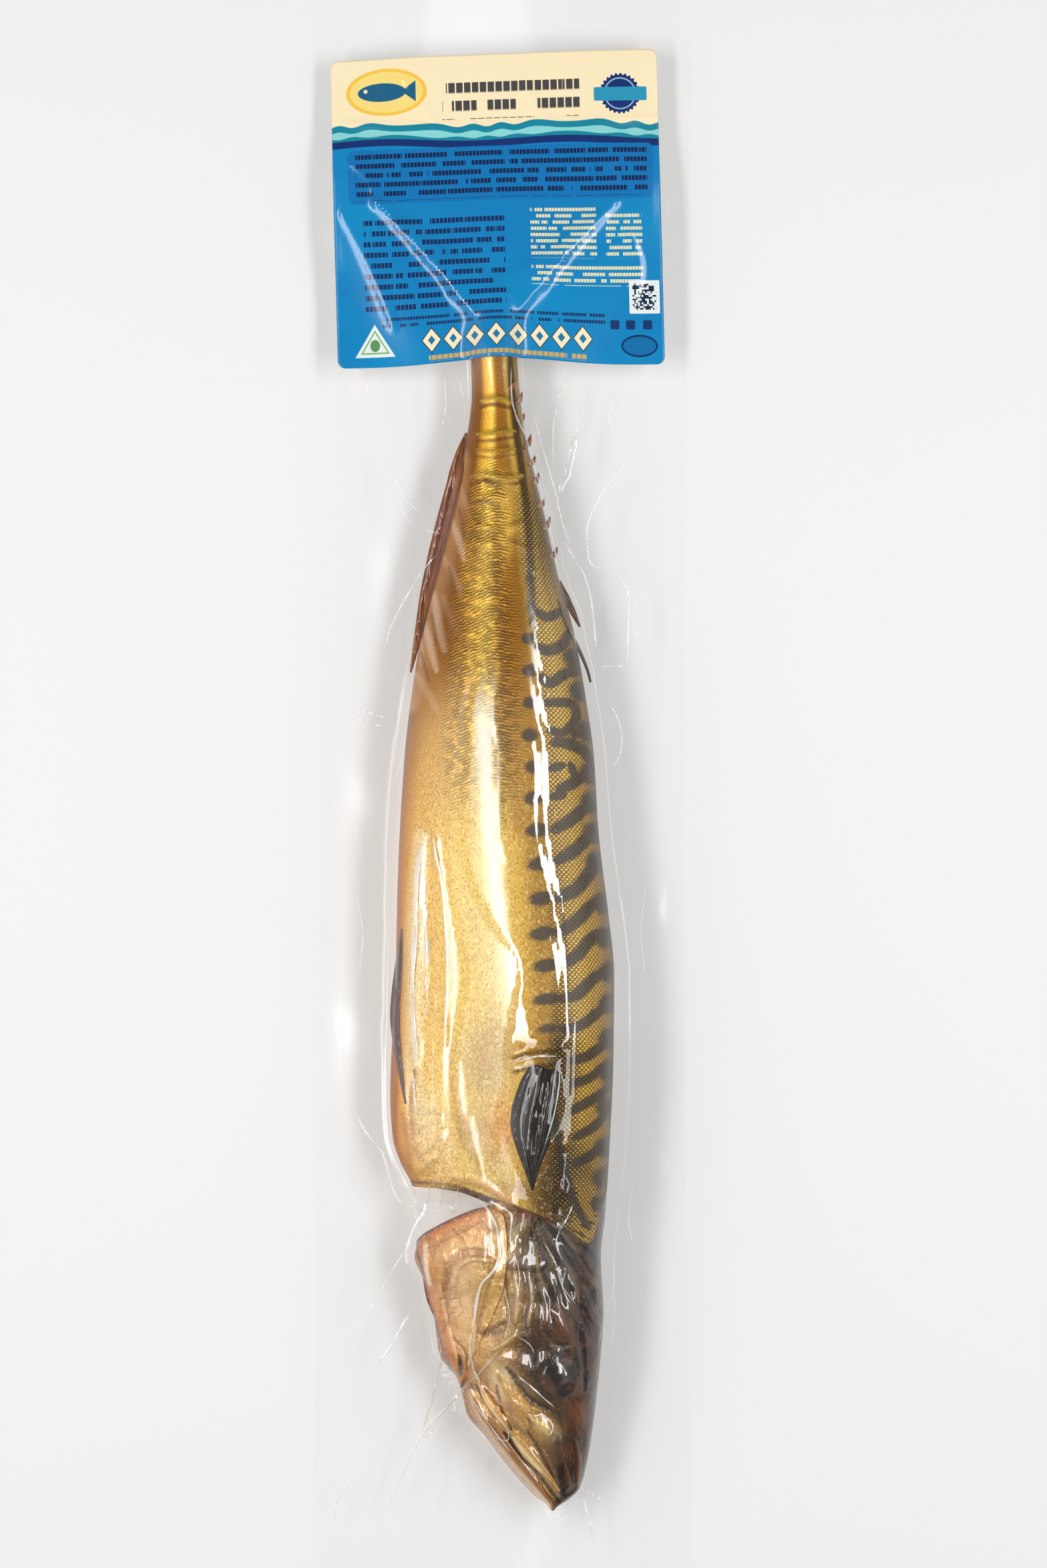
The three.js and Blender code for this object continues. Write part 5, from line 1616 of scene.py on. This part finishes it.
# A code of random cells on white, a leaf-green triangle, an oval stamp and a band of lozenges.
CELLS_A_MM = 1.8
cell = shader_node(tree, "ShaderNodeCombineXYZ", {
    0: worked_out("FLOOR", right_mm * CELLS_A_MM), 1: worked_out("FLOOR", down_mm * CELLS_A_MM),
    2: 0.0,
})
random_cells = shader_node(tree, "ShaderNodeTexWhiteNoise", {"Vector": cell}, noise_dimensions="3D")
print_colour = laid_over(print_colour, [
    (rectangle(89.6, 70.6, 98.9, 80.6, 0.3), (232, 240, 238)),
    (rectangle(90.6, 71.7, 97.8, 79.4) * ramp(random_cells, 0.52, 0.54), (12, 40, 70)),
])
for inset, colour in [(0, (232, 240, 236)), (1.0, (120, 178, 110)), (1.5, (232, 240, 236))]:
    sides = worked_out("ABSOLUTE", right_mm - 11.6) - (down_mm - (82.6 + inset * 1.7)) * 0.6
    triangle = worked_out("MAXIMUM", sides, down_mm - (92.8 - inset))
    print_colour = laid_over(print_colour, [(ramp(triangle, 0.12, -0.12), colour)])
step = worked_out("FRACT", (right_mm - 25.6) / 6.6) - 0.5
lozenge = worked_out("ABSOLUTE", step) * 2.2 + worked_out("ABSOLUTE", down_mm - 88.6) / 3.9
band = rectangle(25.6, 84.4, 78.4, 92.8)
squares = [(rectangle(x, 82.6, x + 2.8, 85.4, 0.5), (10, 50, 104)) for x in (83.6, 88.4, 93.6)]
print_colour = laid_over(print_colour, [
    (oval(11.6, 89.2, 1.5, 1.9), (90, 150, 90)),
    (oval(92.4, 90.4, 5.6, 3.4), (8, 44, 96)),
    (oval(92.4, 90.4, 5, 2.8), (4, 110, 168)),
    *squares,
    (band * ramp(lozenge, 1.06, 1.02), (60, 44, 30)),
    (band * ramp(lozenge, 0.94, 0.9), (246, 234, 200)),
    (band * ramp(lozenge, 0.4, 0.36), (30, 120, 160)),
])
# Only the upper face is printed. The back is plain white stock.
print_colour = mixed(attribute(tree, "printed"), solid_colour(240, 240, 236), print_colour)
coated(tree, output, {"Base Color": print_colour, "Roughness": 0.16})
label = solid_piece(
    "printed_label",
    two_sides(
        np.stack([label_x, label_y, label_top], -1), np.stack([label_x, label_y, label_bottom], -1)
    ),
    label_print,
    uv=two_sides(label_uv, label_uv),
    attributes={"printed": two_sides(np.ones(label_x.shape), np.zeros(label_x.shape))},
    in_pouch=False,
)
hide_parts("label")

# ---------------------------------------------------------------------------------------------
# Studio. A pale floor, two long bright strips over the pack's sides, a broad weaker fill low on
# each side, and the camera straight above.
# ---------------------------------------------------------------------------------------------
FLOOR_HALF = 3
FLOOR_Z = -0.0003
floor_corners = [(x * FLOOR_HALF, y * FLOOR_HALF, FLOOR_Z) for x, y in
                 [(-1, -1), (1, -1), (1, 1), (-1, 1)]]
floor_mesh = bpy.data.meshes.new("floor")
floor_mesh.from_pydata(floor_corners, [], [(0, 1, 2, 3)])
floor_finish, tree, output = new_finish("floor")
coated(tree, output, {
    "Base Color": (0.68, 0.676, 0.672, 1),
    "Roughness": 0.9,
    "Emission Color": (1, 1, 1, 1),
    "Emission Strength": 0.18,
})
floor_mesh.materials.append(floor_finish)
floor = bpy.data.objects.new("floor", floor_mesh)
bpy.context.scene.collection.objects.link(floor)

# Each lamp leans from straight above by some degrees at a distance, and glows over its face.
for name, lean, distance, width, length, radiance in [
    ("strip_left", -34, 0.9, 0.16, 0.82, 9.2), ("strip_right", 34, 0.9, 0.16, 0.82, 9.2),
    ("fill_left", -64, 1.15, 1.0, 1.4, 0.55), ("fill_right", 64, 1.15, 1.0, 1.4, 0.36),
]:
    lamp = bpy.data.lights.new(name, "AREA")
    lamp.shape = "RECTANGLE"
    lamp.size, lamp.size_y = width, length
    lamp.energy = radiance * width * length * math.pi
    light = bpy.data.objects.new(name, lamp)
    bpy.context.scene.collection.objects.link(light)
    angle = math.radians(lean)
    light.location = (distance * math.sin(angle), 0, distance * math.cos(angle))
    light.rotation_euler = (0, angle, 0)

WORLD_GREY = 0.28
world = bpy.data.worlds.new("studio")
world.use_nodes = True
background = world.node_tree.nodes["Background"]
background.inputs["Color"].default_value = (WORLD_GREY, WORLD_GREY, WORLD_GREY, 1)
bpy.context.scene.world = world
bpy.context.scene.view_settings.view_transform = "Standard"

CAMERA_LENS = 100
CAMERA_SENSOR = 36
CAMERA_PLACE = (0.0066, 0, 1.342)
camera_data = bpy.data.cameras.new("camera")
camera_data.lens = CAMERA_LENS
camera_data.sensor_width = CAMERA_SENSOR
camera = bpy.data.objects.new("camera", camera_data)
camera.location = CAMERA_PLACE
bpy.context.scene.collection.objects.link(camera)
bpy.context.scene.camera = camera
